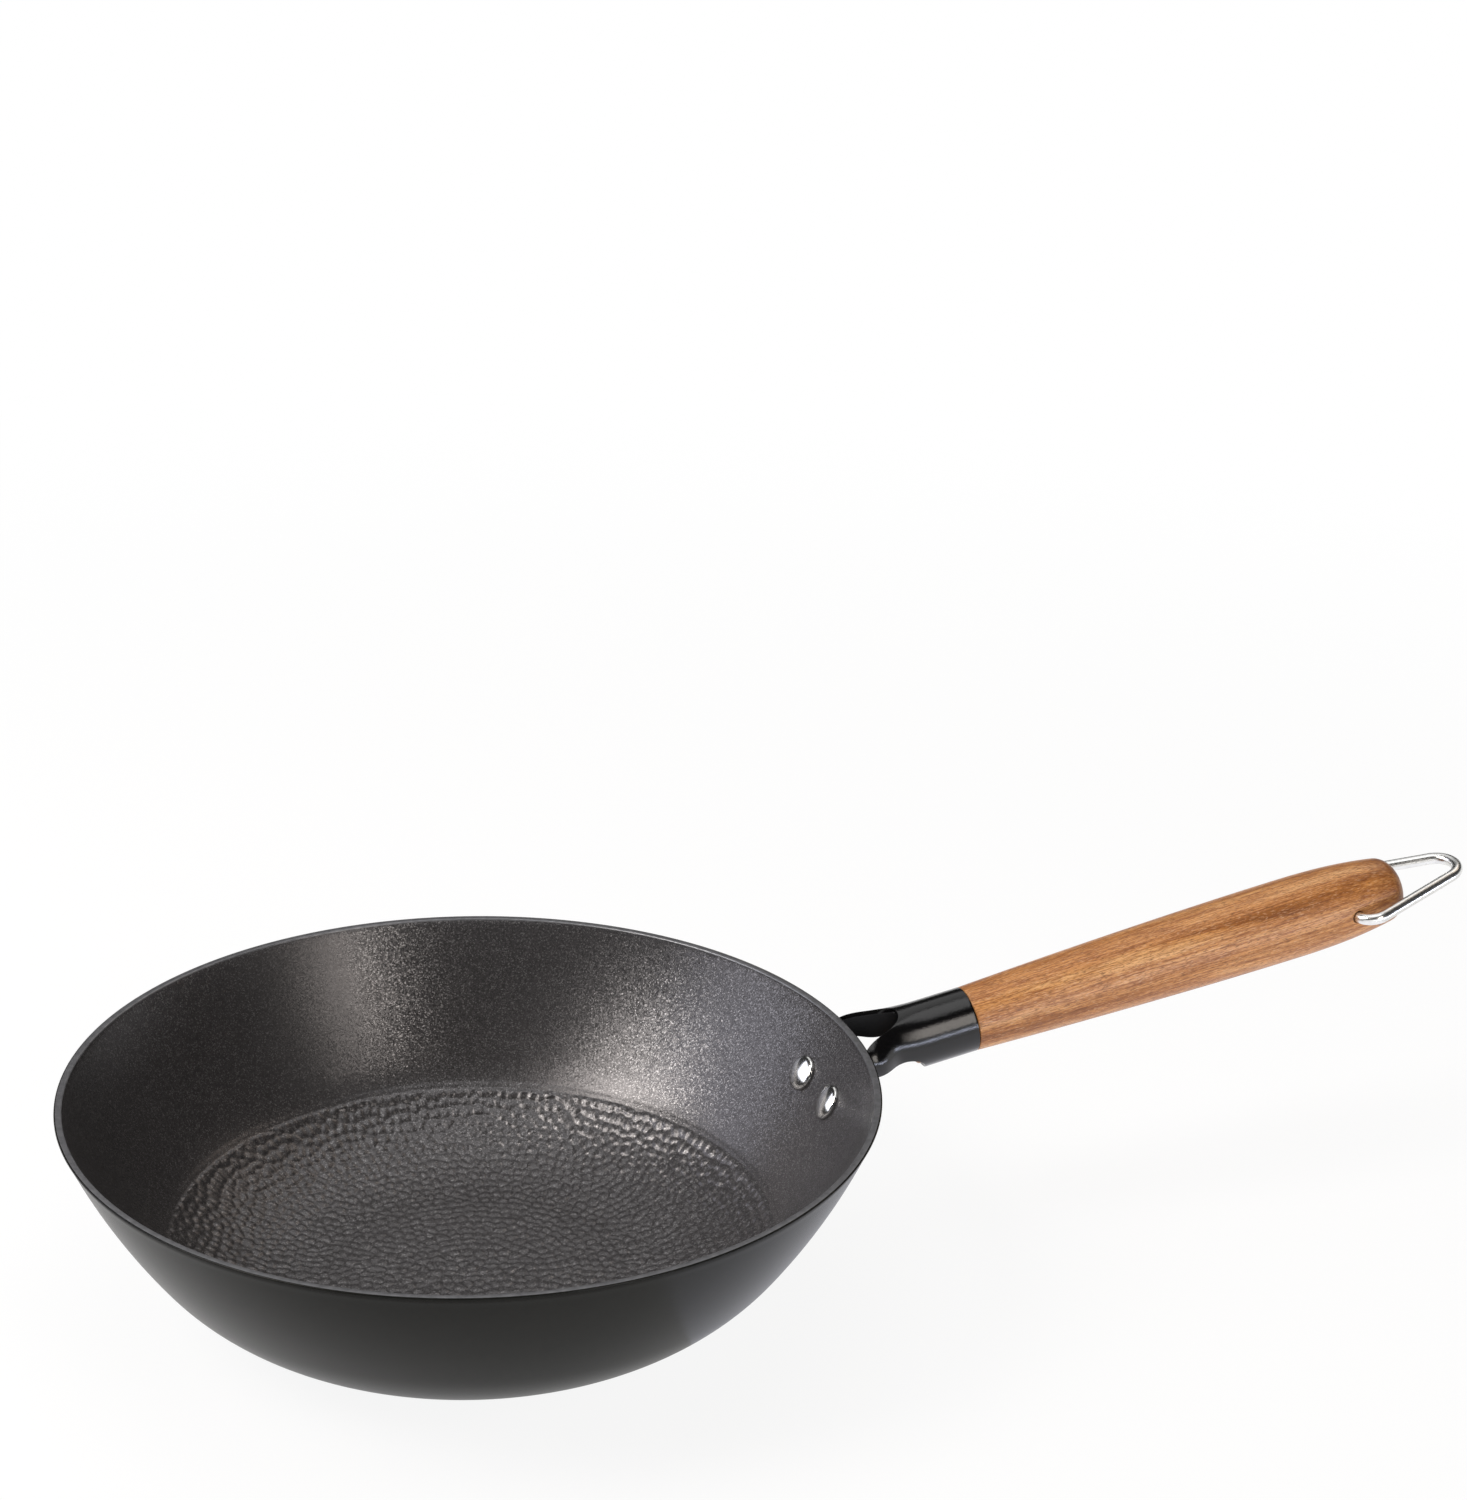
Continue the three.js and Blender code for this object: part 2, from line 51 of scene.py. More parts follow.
# Bowl
RIM_RADIUS = 150.0
BOWL_HEIGHT = 81.8
BASE_RADIUS = 57.4
CORNER_RADIUS = 80.5
CORNER_ANGLE = math.radians(53.6)
WALL_THICKNESS = 2.5
FLOOR_THICKNESS = 3.6
RIM_EDGE = 0.55
RING_RADIUS = 112.7
RING_HEIGHT = 0.12
RING_RISE = 9.0
RING_FALL = 1.8
INSIDE, RIM, OUTSIDE = 0, 1, 2

# Hammered floor; the edge, the lowest pebble and the first row are given as shares of the full size
PEBBLE_SPACING = 4.9
PEBBLE_ROW = 4.4
PEBBLE_EDGE_SIZE = 0.77
PEBBLE_EDGE_HEIGHT = 0.85
PEBBLE_JITTER = 0.21
PEBBLE_HEIGHT = 0.88
PEBBLE_CROWN = 2.4
PEBBLE_EDGE = 111.8
PEBBLE_FADE = 1.0
PEBBLE_FIRST_ROW = 0.3
PEBBLE_GROWTH = 0.3
PEBBLE_LOWEST = 0.75
PEBBLE_NEIGHBOURS = 5

# How finely the bowl is drawn: steps in millimetres, counts of rings, and segments within a radius
FLOOR_STEP = 0.75
SLOPE_STEP = 0.3
FLOOR_SEGMENTS = ((14.0, 90), (29.0, 180), (57.5, 360), (113.5, 720))
WALL_SEGMENTS = 360
PROFILE_CORNER_STOPS, PROFILE_WALL_STOPS = 90, 60
RING_STOPS, INNER_WALL_STOPS, RIM_STOPS = 17, 36, 6
OUTER_WALL_STOPS, OUTER_CORNER_STOPS = 24, 30
UNDERSIDE_RADII = (50.0, 40.0, 25.0, 10.0)

# Rivets
RIVET_SPACING = 26.0
RIVET_BELOW_RIM = 23.6
RIVET_HEAD_RADIUS = 6.8
RIVET_HEAD_HEIGHT = 2.4
RIVET_HEAD_EDGE = 0.6
RIVET_SHANK_RADIUS = 2.5
RIVET_TAIL_RADIUS = 4.5
RIVET_TAIL_HEIGHT = 1.8
RIVET_TAIL_BEVEL = 0.9
RIVET_DOME_STOPS, RIVET_BEVEL_STOPS, RIVET_SEGMENTS = 14, 6, 48
SEAT_GAP = 0.3
PAD_GAP = 0.45

# Handle line
HANDLE_RISE = math.radians(9.1)
JOINT_PAST_RIM = 47.2
JOINT_BELOW_RIM = 3.3

# Bracket
SOCKET_RADIUS = 12.6
SHEET_THICKNESS = 1.7
SOCKET_LENGTH = 33.0
NOTCH_HALF_WIDTH = 6.2
NOTCH_DEPTH = 5.5
UNDER_LIP_LENGTH = 19.5
LEG_LOWER_ANGLE = math.radians(-13)
LEG_UPPER_ANGLE = math.radians(58)
LEG_OVERLAP = 4.0
LEG_UPPER_REACH = 13.0
LEG_LOWER_REACH = 9.5
LEG_UPPER_FLARE = 7.6
LEG_LOWER_FLARE = 5.5
LEG_UPPER_LIFT = -1.8
LEG_LOWER_LIFT = 0.7
LEG_ROOT_FLARE = 1.7
LEG_ROOT_LIFT = 0.3
LEG_SPREAD_START = 18.0
LEG_SPREAD_HALFWAY = 26.0
PAD_WIDTH = 16.0
PAD_ABOVE_RIVET = 6.0
SHEET_EDGE = 0.5
UNDER_COLUMNS, LEG_COLUMNS, TOP_COLUMNS = 7, 8, 5
TUBE_ROWS, LEG_ROWS, PAD_ROWS = 10, 14, 5
LEG_CURVE_STEPS = 12

# Grip
GRIP_LENGTH = 185.0
GRIP_NECK_DIAMETER = 25.0
GRIP_SWELL_DIAMETER = 31.5
GRIP_END_DIAMETER = 23.0
GRIP_SWELL_AT = 136.0
GRIP_NECK_POWER = 1.7
GRIP_END_POWER = 2.5
GRIP_END_EDGE = 6.8
GRIP_SHOULDER_EDGE = 0.5
TENON_LENGTH = 24.0
TENON_CHAMFER = 1.0
GRIP_SHOULDER_STOPS, GRIP_STOPS, GRIP_END_STOPS, GRIP_SEGMENTS = 5, 90, 20, 96
PIN_RADIUS = 2.0
PIN_LENGTH = 15.0
PIN_FROM_JOINT = 12.0
PIN_CROWN = 0.5
PIN_CROWN_STOPS, PIN_SEGMENTS = 8, 32

# Hanging loop
WIRE_RADIUS = 2.25
WIRE_HOLE_CLEARANCE = 0.35
LOOP_PIVOT_FROM_END = 24.2
LOOP_LENGTH = 50.6
LOOP_HALF_ANGLE = math.radians(17.5)
LOOP_TIP_RADIUS = 9.3
LOOP_EAR_RADIUS = 6.5
LOOP_PIN_INSET = 9.0
LOOP_TILT = math.radians(2)
LOOP_PIN_STOPS, LOOP_EAR_STOPS, LOOP_LEG_STOPS, LOOP_TIP_STOPS = 14, 30, 24, 26
WIRE_SIDES = 28
WIRE_END_EDGE = 0.6
WIRE_END_TURNS = (0.0, 0.4, 0.8, 1.2)
HOLE_SEGMENTS = 32

# Edges steeper than this stay crisp, on turned pieces and on pressed or drawn ones
TURNED_CRISP = math.radians(40)
DRAWN_CRISP = math.radians(50)

# Camera, found from the outline of the rim, wall and floor ring
HANDLE_TURN = math.radians(21.0)
CAMERA_PLACE = (93.80, -1297.88, 754.78)
CAMERA_PITCH = math.radians(22.5031)
CAMERA_ROLL = math.radians(0.9137)
CAMERA_LENS = 96.0
CAMERA_SENSOR = 36.0
CAMERA_NEAR, CAMERA_FAR = 0.05, 100


def from_camera(right, away, up):
    """Point in metres from millimetres right of, away from and above the base, as the camera sees them."""
    return Matrix.Rotation(-HANDLE_TURN, 3, "Z") @ Vector((right, away, up)) * MM


# Meshes


def add_mesh(name, points, faces, materials, face_materials=None, sharp_angle=None):
    """Object from points in millimetres, shaded smooth, with edges steeper than sharp_angle kept crisp."""
    mesh = bpy.data.meshes.new(name)
    mesh.from_pydata([tuple(float(x) * MM for x in p) for p in points], [], faces)
    for material in materials:
        mesh.materials.append(material)
    if face_materials is not None:
        mesh.polygons.foreach_set("material_index", face_materials)
    mesh.polygons.foreach_set("use_smooth", [True] * len(mesh.polygons))
    work = bmesh.new()
    work.from_mesh(mesh)
    bmesh.ops.recalc_face_normals(work, faces=work.faces)
    work.to_mesh(mesh)
    work.free()
    if sharp_angle is not None:
        mesh.set_sharp_from_angle(angle=sharp_angle)
    made = bpy.data.objects.new(name, mesh)
    bpy.context.scene.collection.objects.link(made)
    return made


def turned(profile, segments):
    """Points and faces of a shape turned about its own +X.

    The profile is a list of (distance along, radius) that starts and ends on the axis.
    """
    points = [(profile[0][0], 0.0, 0.0)]
    faces = []
    for along, radius in profile[1:-1]:
        for k in range(segments):
            turn = 2 * math.pi * k / segments
            points.append((along, radius * math.cos(turn), radius * math.sin(turn)))
    points.append((profile[-1][0], 0.0, 0.0))
    rings = len(profile) - 2
    last = len(points) - 1
    for k in range(segments):
        after = (k + 1) % segments
        faces.append((0, 1 + after, 1 + k))
        for ring in range(rings - 1):
            low, high = 1 + ring * segments, 1 + (ring + 1) * segments
            faces.append((low + k, low + after, high + after, high + k))
        top = 1 + (rings - 1) * segments
        faces.append((top + k, top + after, last))
    return points, faces


def swept(path, radius, sides, end_round):
    """Points and faces of round wire along a flat path in its XY plane, with rounded ends."""
    path = [Vector(p) for p in path]
    rings = []
    for k, place in enumerate(path):
        along = (path[min(k + 1, len(path) - 1)] - path[max(k - 1, 0)]).normalized()
        rings.append((place, Vector((-along.y, along.x, 0)), radius))
    for end in (0, -1):
        place, across, _ = rings[end]
        along = (path[1] - path[0] if end == 0 else path[-2] - path[-1]).normalized()
        cap = [(place + along * end_round * (1 - math.cos(t)), across, radius - end_round * (1 - math.sin(t)))
               for t in WIRE_END_TURNS]
        rings = cap + rings[1:] if end == 0 else rings[:-1] + cap[::-1]
    points, faces = [], []
    for place, across, size in rings:
        for k in range(sides):
            turn = 2 * math.pi * k / sides
            points.append(place + across * size * math.cos(turn) + Vector((0, 0, size * math.sin(turn))))
    for ring in range(len(rings) - 1):
        for k in range(sides):
            after = (k + 1) % sides
            low, high = ring * sides, (ring + 1) * sides
            faces.append((low + k, low + after, high + after, high + k))
    faces.append(tuple(range(sides)))
    faces.append(tuple(range((len(rings) - 1) * sides, len(rings) * sides)))
    return points, faces


def cut(piece, cutters):
    """Cuts the cutters out of the piece for good and removes them."""
    for cutter in cutters:
        piece.modifiers.new(cutter.name, "BOOLEAN").object = cutter
    bpy.context.view_layer.update()
    shaped = piece.evaluated_get(bpy.context.evaluated_depsgraph_get())
    mesh = bpy.data.meshes.new_from_object(shaped)
    piece.modifiers.clear()
    piece.data = mesh
    for cutter in cutters:
        bpy.data.objects.remove(cutter)


# Wall of the bowl: a corner arc rises from the flat base and a wider arc, tangent to it, goes on to the rim.

corner_top_radius = BASE_RADIUS + CORNER_RADIUS * math.sin(CORNER_ANGLE)
corner_top_height = CORNER_RADIUS * (1 - math.cos(CORNER_ANGLE))
wall_run = RIM_RADIUS - corner_top_radius
wall_rise = BOWL_HEIGHT - corner_top_height
wall_turn = 2 * (math.atan2(wall_rise, wall_run) - CORNER_ANGLE)
wall_arc = math.hypot(wall_run, wall_rise) / (2 * math.sin(wall_turn / 2))
wall_centre_radius = corner_top_radius - wall_arc * math.sin(CORNER_ANGLE)
wall_centre_height = corner_top_height + wall_arc * math.cos(CORNER_ANGLE)
rivet_slope = math.acos((wall_centre_height - BOWL_HEIGHT + RIVET_BELOW_RIM) / wall_arc)


def wall_profile(slope, offset):
    """(radius, height) on the wall's outer arc at a slope angle, moved outwards by offset."""
    reach = wall_arc + offset
    return wall_centre_radius + reach * math.sin(slope), wall_centre_height - reach * math.cos(slope)


rivet_radius = wall_profile(rivet_slope, 0)[0]
rivet_azimuth = math.asin(RIVET_SPACING / 2 / rivet_radius)


def wall_point(side, up, sideways, offset):
    """Point beside the outer wall: up the wall and sideways from a rivet seat, moved outwards by offset."""
    radius, height = wall_profile(rivet_slope + up / wall_arc, offset)
    azimuth = side * (rivet_azimuth + sideways / rivet_radius)
    return Vector((radius * math.cos(azimuth), radius * math.sin(azimuth), height))


def inner_profile():
    """The hollow's surface from the middle of the floor to the rim, as arrays of radius and height."""
    ring_angle = math.asin((RING_RADIUS - BASE_RADIUS) / (CORNER_RADIUS - WALL_THICKNESS))
    radii, heights = [0.0, BASE_RADIUS], [FLOOR_THICKNESS, FLOOR_THICKNESS]
    for slope in np.linspace(0, CORNER_ANGLE, PROFILE_CORNER_STOPS)[1:]:
        thickness = np.interp(slope, [0, ring_angle], [FLOOR_THICKNESS, WALL_THICKNESS])
        radii.append(BASE_RADIUS + (CORNER_RADIUS - thickness) * math.sin(slope))
        heights.append(CORNER_RADIUS - (CORNER_RADIUS - thickness) * math.cos(slope))
    rim_slope = math.acos((wall_centre_height - BOWL_HEIGHT + RIM_EDGE) / (wall_arc - WALL_THICKNESS))
    for slope in np.linspace(CORNER_ANGLE, rim_slope, PROFILE_WALL_STOPS)[1:]:
        radius, height = wall_profile(slope, -WALL_THICKNESS)
        radii.append(radius)
        heights.append(height)
    return np.array(radii), np.array(heights)


# Hammered floor: rounded pebbles in rough rings, parted by narrow valleys.


def pebble_field():
    """Function that gives the height of the hammered floor at a point of the plan."""
    draw = random.Random(SEED)
    seeds = []
    radius = PEBBLE_FIRST_ROW * PEBBLE_ROW
    while radius < PEBBLE_EDGE + PEBBLE_ROW:
        share = 1 - (1 - PEBBLE_EDGE_SIZE) * radius / PEBBLE_EDGE
        count = max(1, round(2 * math.pi * radius / (PEBBLE_SPACING * share)))
        phase = draw.random()
        for k in range(count):
            out = radius + PEBBLE_JITTER * PEBBLE_ROW * share * draw.gauss(0, 1)
            turn = 2 * math.pi * (k + phase + PEBBLE_JITTER * draw.gauss(0, 1)) / count
            growth = draw.uniform(-PEBBLE_GROWTH, PEBBLE_GROWTH)
            tallness = draw.uniform(PEBBLE_LOWEST, 1)
            seeds.append((out * math.cos(turn), out * math.sin(turn), growth, tallness))
        radius += PEBBLE_ROW * share
    tree = kdtree.KDTree(len(seeds))
    for k, seed in enumerate(seeds):
        tree.insert((seed[0], seed[1], 0), k)
    tree.balance()

    def height(x, y):
        found = tree.find_n((x, y, 0), PEBBLE_NEIGHBOURS)
        near = sorted((distance - seeds[k][2], k) for _, k, distance in found)
        crown = min(1.0, (near[1][0] - near[0][0]) / PEBBLE_CROWN)
        out = math.hypot(x, y) / PEBBLE_EDGE
        edge = min(1.0, max(0.0, (1 - out) * PEBBLE_EDGE / PEBBLE_FADE))
        tallest = PEBBLE_HEIGHT * (1 - (1 - PEBBLE_EDGE_HEIGHT) * out * out)
        return tallest * seeds[near[0][1]][3] * (1 - (1 - crown) ** 2) * edge * edge * (3 - 2 * edge)

    return height


def bowl_rings():
    """Rings of the bowl from the middle of the floor, over the rim, to the middle of the underside.

    Each is (radius, height, normal radius, normal height, segments, finish).
    """
    radii, heights = inner_profile()
    lengths = np.concatenate([[0], np.cumsum(np.hypot(np.diff(radii), np.diff(heights)))])
    ring_length = np.interp(RING_RADIUS, radii, lengths)
    ring_start, ring_end = ring_length - 2 * RING_FALL, ring_length + 2 * RING_FALL
    stops = list(np.arange(FLOOR_STEP, ring_start, FLOOR_STEP))
    stops += list(np.linspace(ring_start, ring_end, RING_STOPS))
    stops += list(np.linspace(ring_end, lengths[-1], INNER_WALL_STOPS)[1:])
    rings = []
    for stop in stops:
        radius, height = np.interp(stop, lengths, radii), np.interp(stop, lengths, heights)
        ahead = min(stop + SLOPE_STEP, lengths[-1])
        behind = max(stop - SLOPE_STEP, 0)
        run = np.interp(ahead, lengths, radii) - np.interp(behind, lengths, radii)
        rise = np.interp(ahead, lengths, heights) - np.interp(behind, lengths, heights)
        size = math.hypot(run, rise)
        out_radius, out_height = -rise / size, run / size
        away = (ring_length - stop) / RING_RISE if stop < ring_length else (stop - ring_length) / RING_FALL
        bead = RING_HEIGHT * 0.5 * (1 + math.cos(math.pi * away)) if away < 1 else 0.0
        segments = next((count for reach, count in FLOOR_SEGMENTS if radius < reach), WALL_SEGMENTS)
        place = radius + bead * out_radius, height + bead * out_height
        rings.append((*place, out_radius, out_height, segments, INSIDE))
    inner_edge = rings[-1][0]
    for turn in np.linspace(0, math.pi / 2, RIM_STOPS)[1:]:
        rings.append((inner_edge + RIM_EDGE * (1 - math.cos(turn)),
                      BOWL_HEIGHT - RIM_EDGE * (1 - math.sin(turn)), 0, 1, WALL_SEGMENTS, RIM))
    for turn in np.linspace(0, math.pi / 2, RIM_STOPS):
        finish = OUTSIDE if turn else RIM
        rings.append((RIM_RADIUS - RIM_EDGE * (1 - math.sin(turn)),
                      BOWL_HEIGHT - RIM_EDGE * (1 - math.cos(turn)), 0, 1, WALL_SEGMENTS, finish))
    outer_rim_slope = math.acos((wall_centre_height - BOWL_HEIGHT + RIM_EDGE) / wall_arc)
    for slope in np.linspace(outer_rim_slope, CORNER_ANGLE, OUTER_WALL_STOPS)[1:]:
        radius, height = wall_profile(slope, 0)
        rings.append((radius, height, 1, 0, WALL_SEGMENTS, OUTSIDE))
    for slope in np.linspace(CORNER_ANGLE, 0, OUTER_CORNER_STOPS)[1:]:
        radius, height = BASE_RADIUS + CORNER_RADIUS * math.sin(slope), CORNER_RADIUS * (1 - math.cos(slope))
        rings.append((radius, height, 1, 0, WALL_SEGMENTS, OUTSIDE))
    for radius in UNDERSIDE_RADII:
        rings.append((radius, 0.0, 0, -1, WALL_SEGMENTS, OUTSIDE))
    return rings


def bowl_mesh():
    """Points, faces and finishes of the bowl. Triangles join rings where the segments double or halve."""
    pebble = pebble_field()
    points = [(0.0, 0.0, FLOOR_THICKNESS + pebble(0, 0))]
    faces, finishes = [], []
    before = None
    for radius, height, out_radius, out_height, segments, finish in bowl_rings():
        start = len(points)
        hammered = finish == INSIDE and radius < PEBBLE_EDGE
        for k in range(segments):
            turn = 2 * math.pi * k / segments
            rise = pebble(radius * math.cos(turn), radius * math.sin(turn)) if hammered else 0.0
            out = radius + rise * out_radius
            points.append((out * math.cos(turn), out * math.sin(turn), height + rise * out_height))
        for k in range(segments):
            after = (k + 1) % segments
            if before is None:
                faces.append((0, start + k, start + after))
                finishes.append(finish)
                continue
            first, count = before
            if count == segments:
                made = [(first + k, start + k, start + after, first + after)]
            elif count < segments:
                low, high = first + k // 2, first + ((k + 1) // 2) % count
                made = [(low, start + k, start + after)]
                if k % 2:
                    made = [(low, start + k, high), (high, start + k, start + after)]
            else:
                low = first + 2 * k
                middle, high = low + 1, first + (2 * k + 2) % count
                made = [(low, start + k, middle), (middle, start + k, start + after),
                        (middle, start + after, high)]
            faces += made
            finishes += [finish] * len(made)
        before = start, segments
    start, segments = before
    points.append((0.0, 0.0, 0.0))
    for k in range(segments):
        faces.append((start + k, len(points) - 1, start + (k + 1) % segments))
        finishes.append(OUTSIDE)
    return points, faces, finishes


# Handle line: from the joint between socket and grip, along its own +X.

handle = Matrix.Translation((RIM_RADIUS + JOINT_PAST_RIM, 0, BOWL_HEIGHT - JOINT_BELOW_RIM))
handle = handle @ Matrix.Rotation(-HANDLE_RISE, 4, "Y")
handle_place = Matrix.Translation(handle.translation * MM) @ handle.to_3x3().to_4x4()


def through(points, steps):
    """Smooth curve through points (centripetal Catmull-Rom), steps to each stretch."""
    points = [2 * points[0] - points[1], *points, 2 * points[-1] - points[-2]]
    made = []
    for k in range(1, len(points) - 2):
        p = points[k - 1:k + 3]
        t = [0.0]
        for a, b in zip(p, p[1:]):
            t.append(t[-1] + (b - a).length ** 0.5)
        for u in np.linspace(t[1], t[2], steps, endpoint=False):
            a = [p[j] * ((t[j + 1] - u) / (t[j + 1] - t[j])) + p[j + 1] * ((u - t[j]) / (t[j + 1] - t[j]))
                 for j in range(3)]
            b = [a[j] * ((t[j + 2] - u) / (t[j + 2] - t[j])) + a[j + 1] * ((u - t[j]) / (t[j + 2] - t[j]))
                 for j in range(2)]
            made.append(b[0] * ((t[2] - u) / (t[2] - t[1])) + b[1] * ((u - t[1]) / (t[2] - t[1])))
    made.append(points[-2])
    return made


def spaced(curve, shares):
    """Points of a curve at shares of its length."""
    places = np.array(curve)
    lengths = np.concatenate([[0], np.cumsum(np.linalg.norm(np.diff(places, axis=0), axis=1))])
    stops = [share * lengths[-1] for share in shares]
    return [Vector([np.interp(stop, lengths, places[:, axis]) for axis in range(3)]) for stop in stops]


# Bracket: one sheet, rolled into the socket, whose two sides run on as the legs.

sheet_middle = SOCKET_RADIUS - SHEET_THICKNESS / 2
pad_offset = PAD_GAP + SHEET_THICKNESS / 2


def leg_angle(share):
    """Angle up from the socket's side of a leg's strip. Share is 0 at its lower edge and 1 at its upper."""
    return LEG_LOWER_ANGLE + (LEG_UPPER_ANGLE - LEG_LOWER_ANGLE) * share


def notch_reach(angle):
    """How far the socket's top runs from the joint, to the round notch between the legs."""
    centre = SOCKET_LENGTH - NOTCH_DEPTH + NOTCH_HALF_WIDTH
    return centre - math.sqrt(max(0.0, NOTCH_HALF_WIDTH ** 2 - (sheet_middle * math.cos(angle)) ** 2))


def sheet_reach(angle):
    """How far the socket's sheet runs from the joint at an angle up from its side, to a leg or a cut end."""
    leg_root = SOCKET_LENGTH - LEG_OVERLAP
    if angle >= LEG_UPPER_ANGLE:
        return notch_reach(angle)
    if angle >= LEG_LOWER_ANGLE:
        share = (angle - LEG_LOWER_ANGLE) / (LEG_UPPER_ANGLE - LEG_LOWER_ANGLE)
        return leg_root + (notch_reach(LEG_UPPER_ANGLE) - leg_root) * share
    foot = SOCKET_RADIUS * math.sin(LEG_LOWER_ANGLE)
    drop = max(0.0, foot - sheet_middle * math.sin(angle)) / (2 * SOCKET_RADIUS + foot)
    return UNDER_LIP_LENGTH + (leg_root - UNDER_LIP_LENGTH) * (1 - math.sqrt(drop)) ** 2


def socket_point(side, angle, along):
    """Point of the socket's sheet: a round tube whose upper sides spread apart towards the legs."""
    share = (angle - LEG_LOWER_ANGLE) / (LEG_UPPER_ANGLE - LEG_LOWER_ANGLE)
    if angle > LEG_UPPER_ANGLE:
        share = (math.pi / 2 - angle) / (math.pi / 2 - LEG_UPPER_ANGLE)
    spread = max(0.0, share) * max(0.0, (along - LEG_SPREAD_START) / (SOCKET_LENGTH - LEG_SPREAD_START)) ** 2
    return handle @ Vector((-along, side * (sheet_middle * math.cos(angle) + spread * LEG_ROOT_FLARE),
                            sheet_middle * math.sin(angle) + spread * LEG_ROOT_LIFT))


def leg_curve(side, share):
    """Middle line of one strip of a leg: straight along the socket, then out and down to the rivet."""
    angle = leg_angle(share)
    flare = LEG_LOWER_FLARE + (LEG_UPPER_FLARE - LEG_LOWER_FLARE) * share
    lift = LEG_LOWER_LIFT + (LEG_UPPER_LIFT - LEG_LOWER_LIFT) * share
    reach = SOCKET_LENGTH + LEG_LOWER_REACH + (LEG_UPPER_REACH - LEG_LOWER_REACH) * share
    y, z = sheet_middle * math.cos(angle), sheet_middle * math.sin(angle)
    sideways = PAD_WIDTH * (share - 0.5)
    stretch = through([
        socket_point(side, angle, LEG_SPREAD_START),
        socket_point(side, angle, LEG_SPREAD_HALFWAY),
        socket_point(side, angle, SOCKET_LENGTH),
        handle @ Vector((-reach, side * (y + flare), z + lift)),
        wall_point(side, PAD_ABOVE_RIVET, sideways, pad_offset),
        wall_point(side, 0, sideways, pad_offset),
    ], LEG_CURVE_STEPS)
    return [socket_point(side, angle, 0), *stretch]


def evenly(start, end, count):
    """Evenly spaced values from start, ending one step before end."""
    return [start + (end - start) * k / count for k in range(count)]


def bracket_mesh():
    """Middle surface of the folded sheet, in columns round the socket that start at its underside."""
    half = evenly(-math.pi / 2, LEG_LOWER_ANGLE, UNDER_COLUMNS)
    half += evenly(LEG_LOWER_ANGLE, LEG_UPPER_ANGLE, LEG_COLUMNS)
    half += evenly(LEG_UPPER_ANGLE, math.pi / 2, TOP_COLUMNS)
    columns = [(1, angle) for angle in half] + [(-1, math.pi / 2)]
    columns += [(-1, angle) for angle in half[:0:-1]]
    points, faces = [], []
    for row in range(TUBE_ROWS + 1):
        for side, angle in columns:
            points.append(socket_point(side, angle, sheet_reach(angle) * row / TUBE_ROWS))
    count = len(columns)
    for row in range(TUBE_ROWS):
        for k in range(count):
            after = (k + 1) % count
            low, high = row * count, (row + 1) * count
            faces.append((low + k, low + after, high + after, high + k))
    for side in (1, -1):
        first = UNDER_COLUMNS if side > 0 else count - UNDER_COLUMNS
        before = [TUBE_ROWS * count + (first + side * k) % count for k in range(LEG_COLUMNS + 1)]
        shares = [k / LEG_COLUMNS for k in range(LEG_COLUMNS + 1)]
        strips = []
        for share in shares:
            curve = leg_curve(side, share)
            length = sum((b - a).length for a, b in zip(curve, curve[1:]))
            root = sheet_reach(leg_angle(share)) / length
            stops = [root + (1 - root) * row / LEG_ROWS for row in range(1, LEG_ROWS + 1)]
            strips.append(spaced(curve, stops))
        rows = [[strip[row] for strip in strips] for row in range(LEG_ROWS)]
        for row in range(1, PAD_ROWS):
            turn = row / PAD_ROWS * math.pi / 2
            drop, half_width = -PAD_WIDTH / 2 * math.sin(turn), PAD_WIDTH / 2 * math.cos(turn)
            across = [half_width * (2 * share - 1) for share in shares]
            rows.append([wall_point(side, drop, sideways, pad_offset) for sideways in across])
        for row in rows:
            start = len(points)
            points += row
            for k in range(LEG_COLUMNS):
                faces.append((before[k], before[k + 1], start + k + 1, start + k))
            before = list(range(start, len(points)))
    return points, faces


def rivet_profile():
    """Rivet from the crown of its head inside the bowl, through wall and leg, to its tail."""
    head_seat = -WALL_THICKNESS - SEAT_GAP
    tail_seat = PAD_GAP + SHEET_THICKNESS + SEAT_GAP
    profile = []
    for turn in np.linspace(0, math.pi / 2, RIVET_DOME_STOPS):
        rise = RIVET_HEAD_EDGE + (RIVET_HEAD_HEIGHT - RIVET_HEAD_EDGE) * math.cos(turn)
        profile.append((head_seat - rise, RIVET_HEAD_RADIUS * math.sin(turn)))
    tail_top = tail_seat + RIVET_TAIL_HEIGHT
    profile += [(head_seat, RIVET_HEAD_RADIUS), (head_seat, RIVET_SHANK_RADIUS)]
    profile += [(tail_seat, RIVET_SHANK_RADIUS), (tail_seat, RIVET_TAIL_RADIUS)]
    profile.append((tail_top - RIVET_TAIL_BEVEL, RIVET_TAIL_RADIUS))
    for turn in np.linspace(0, math.pi / 2, RIVET_BEVEL_STOPS)[1:]:
        profile.append((tail_top - RIVET_TAIL_BEVEL * (1 - math.sin(turn)),
                        RIVET_TAIL_RADIUS - RIVET_TAIL_BEVEL * (1 - math.cos(turn))))
    profile.append((tail_top, 0))
    return profile


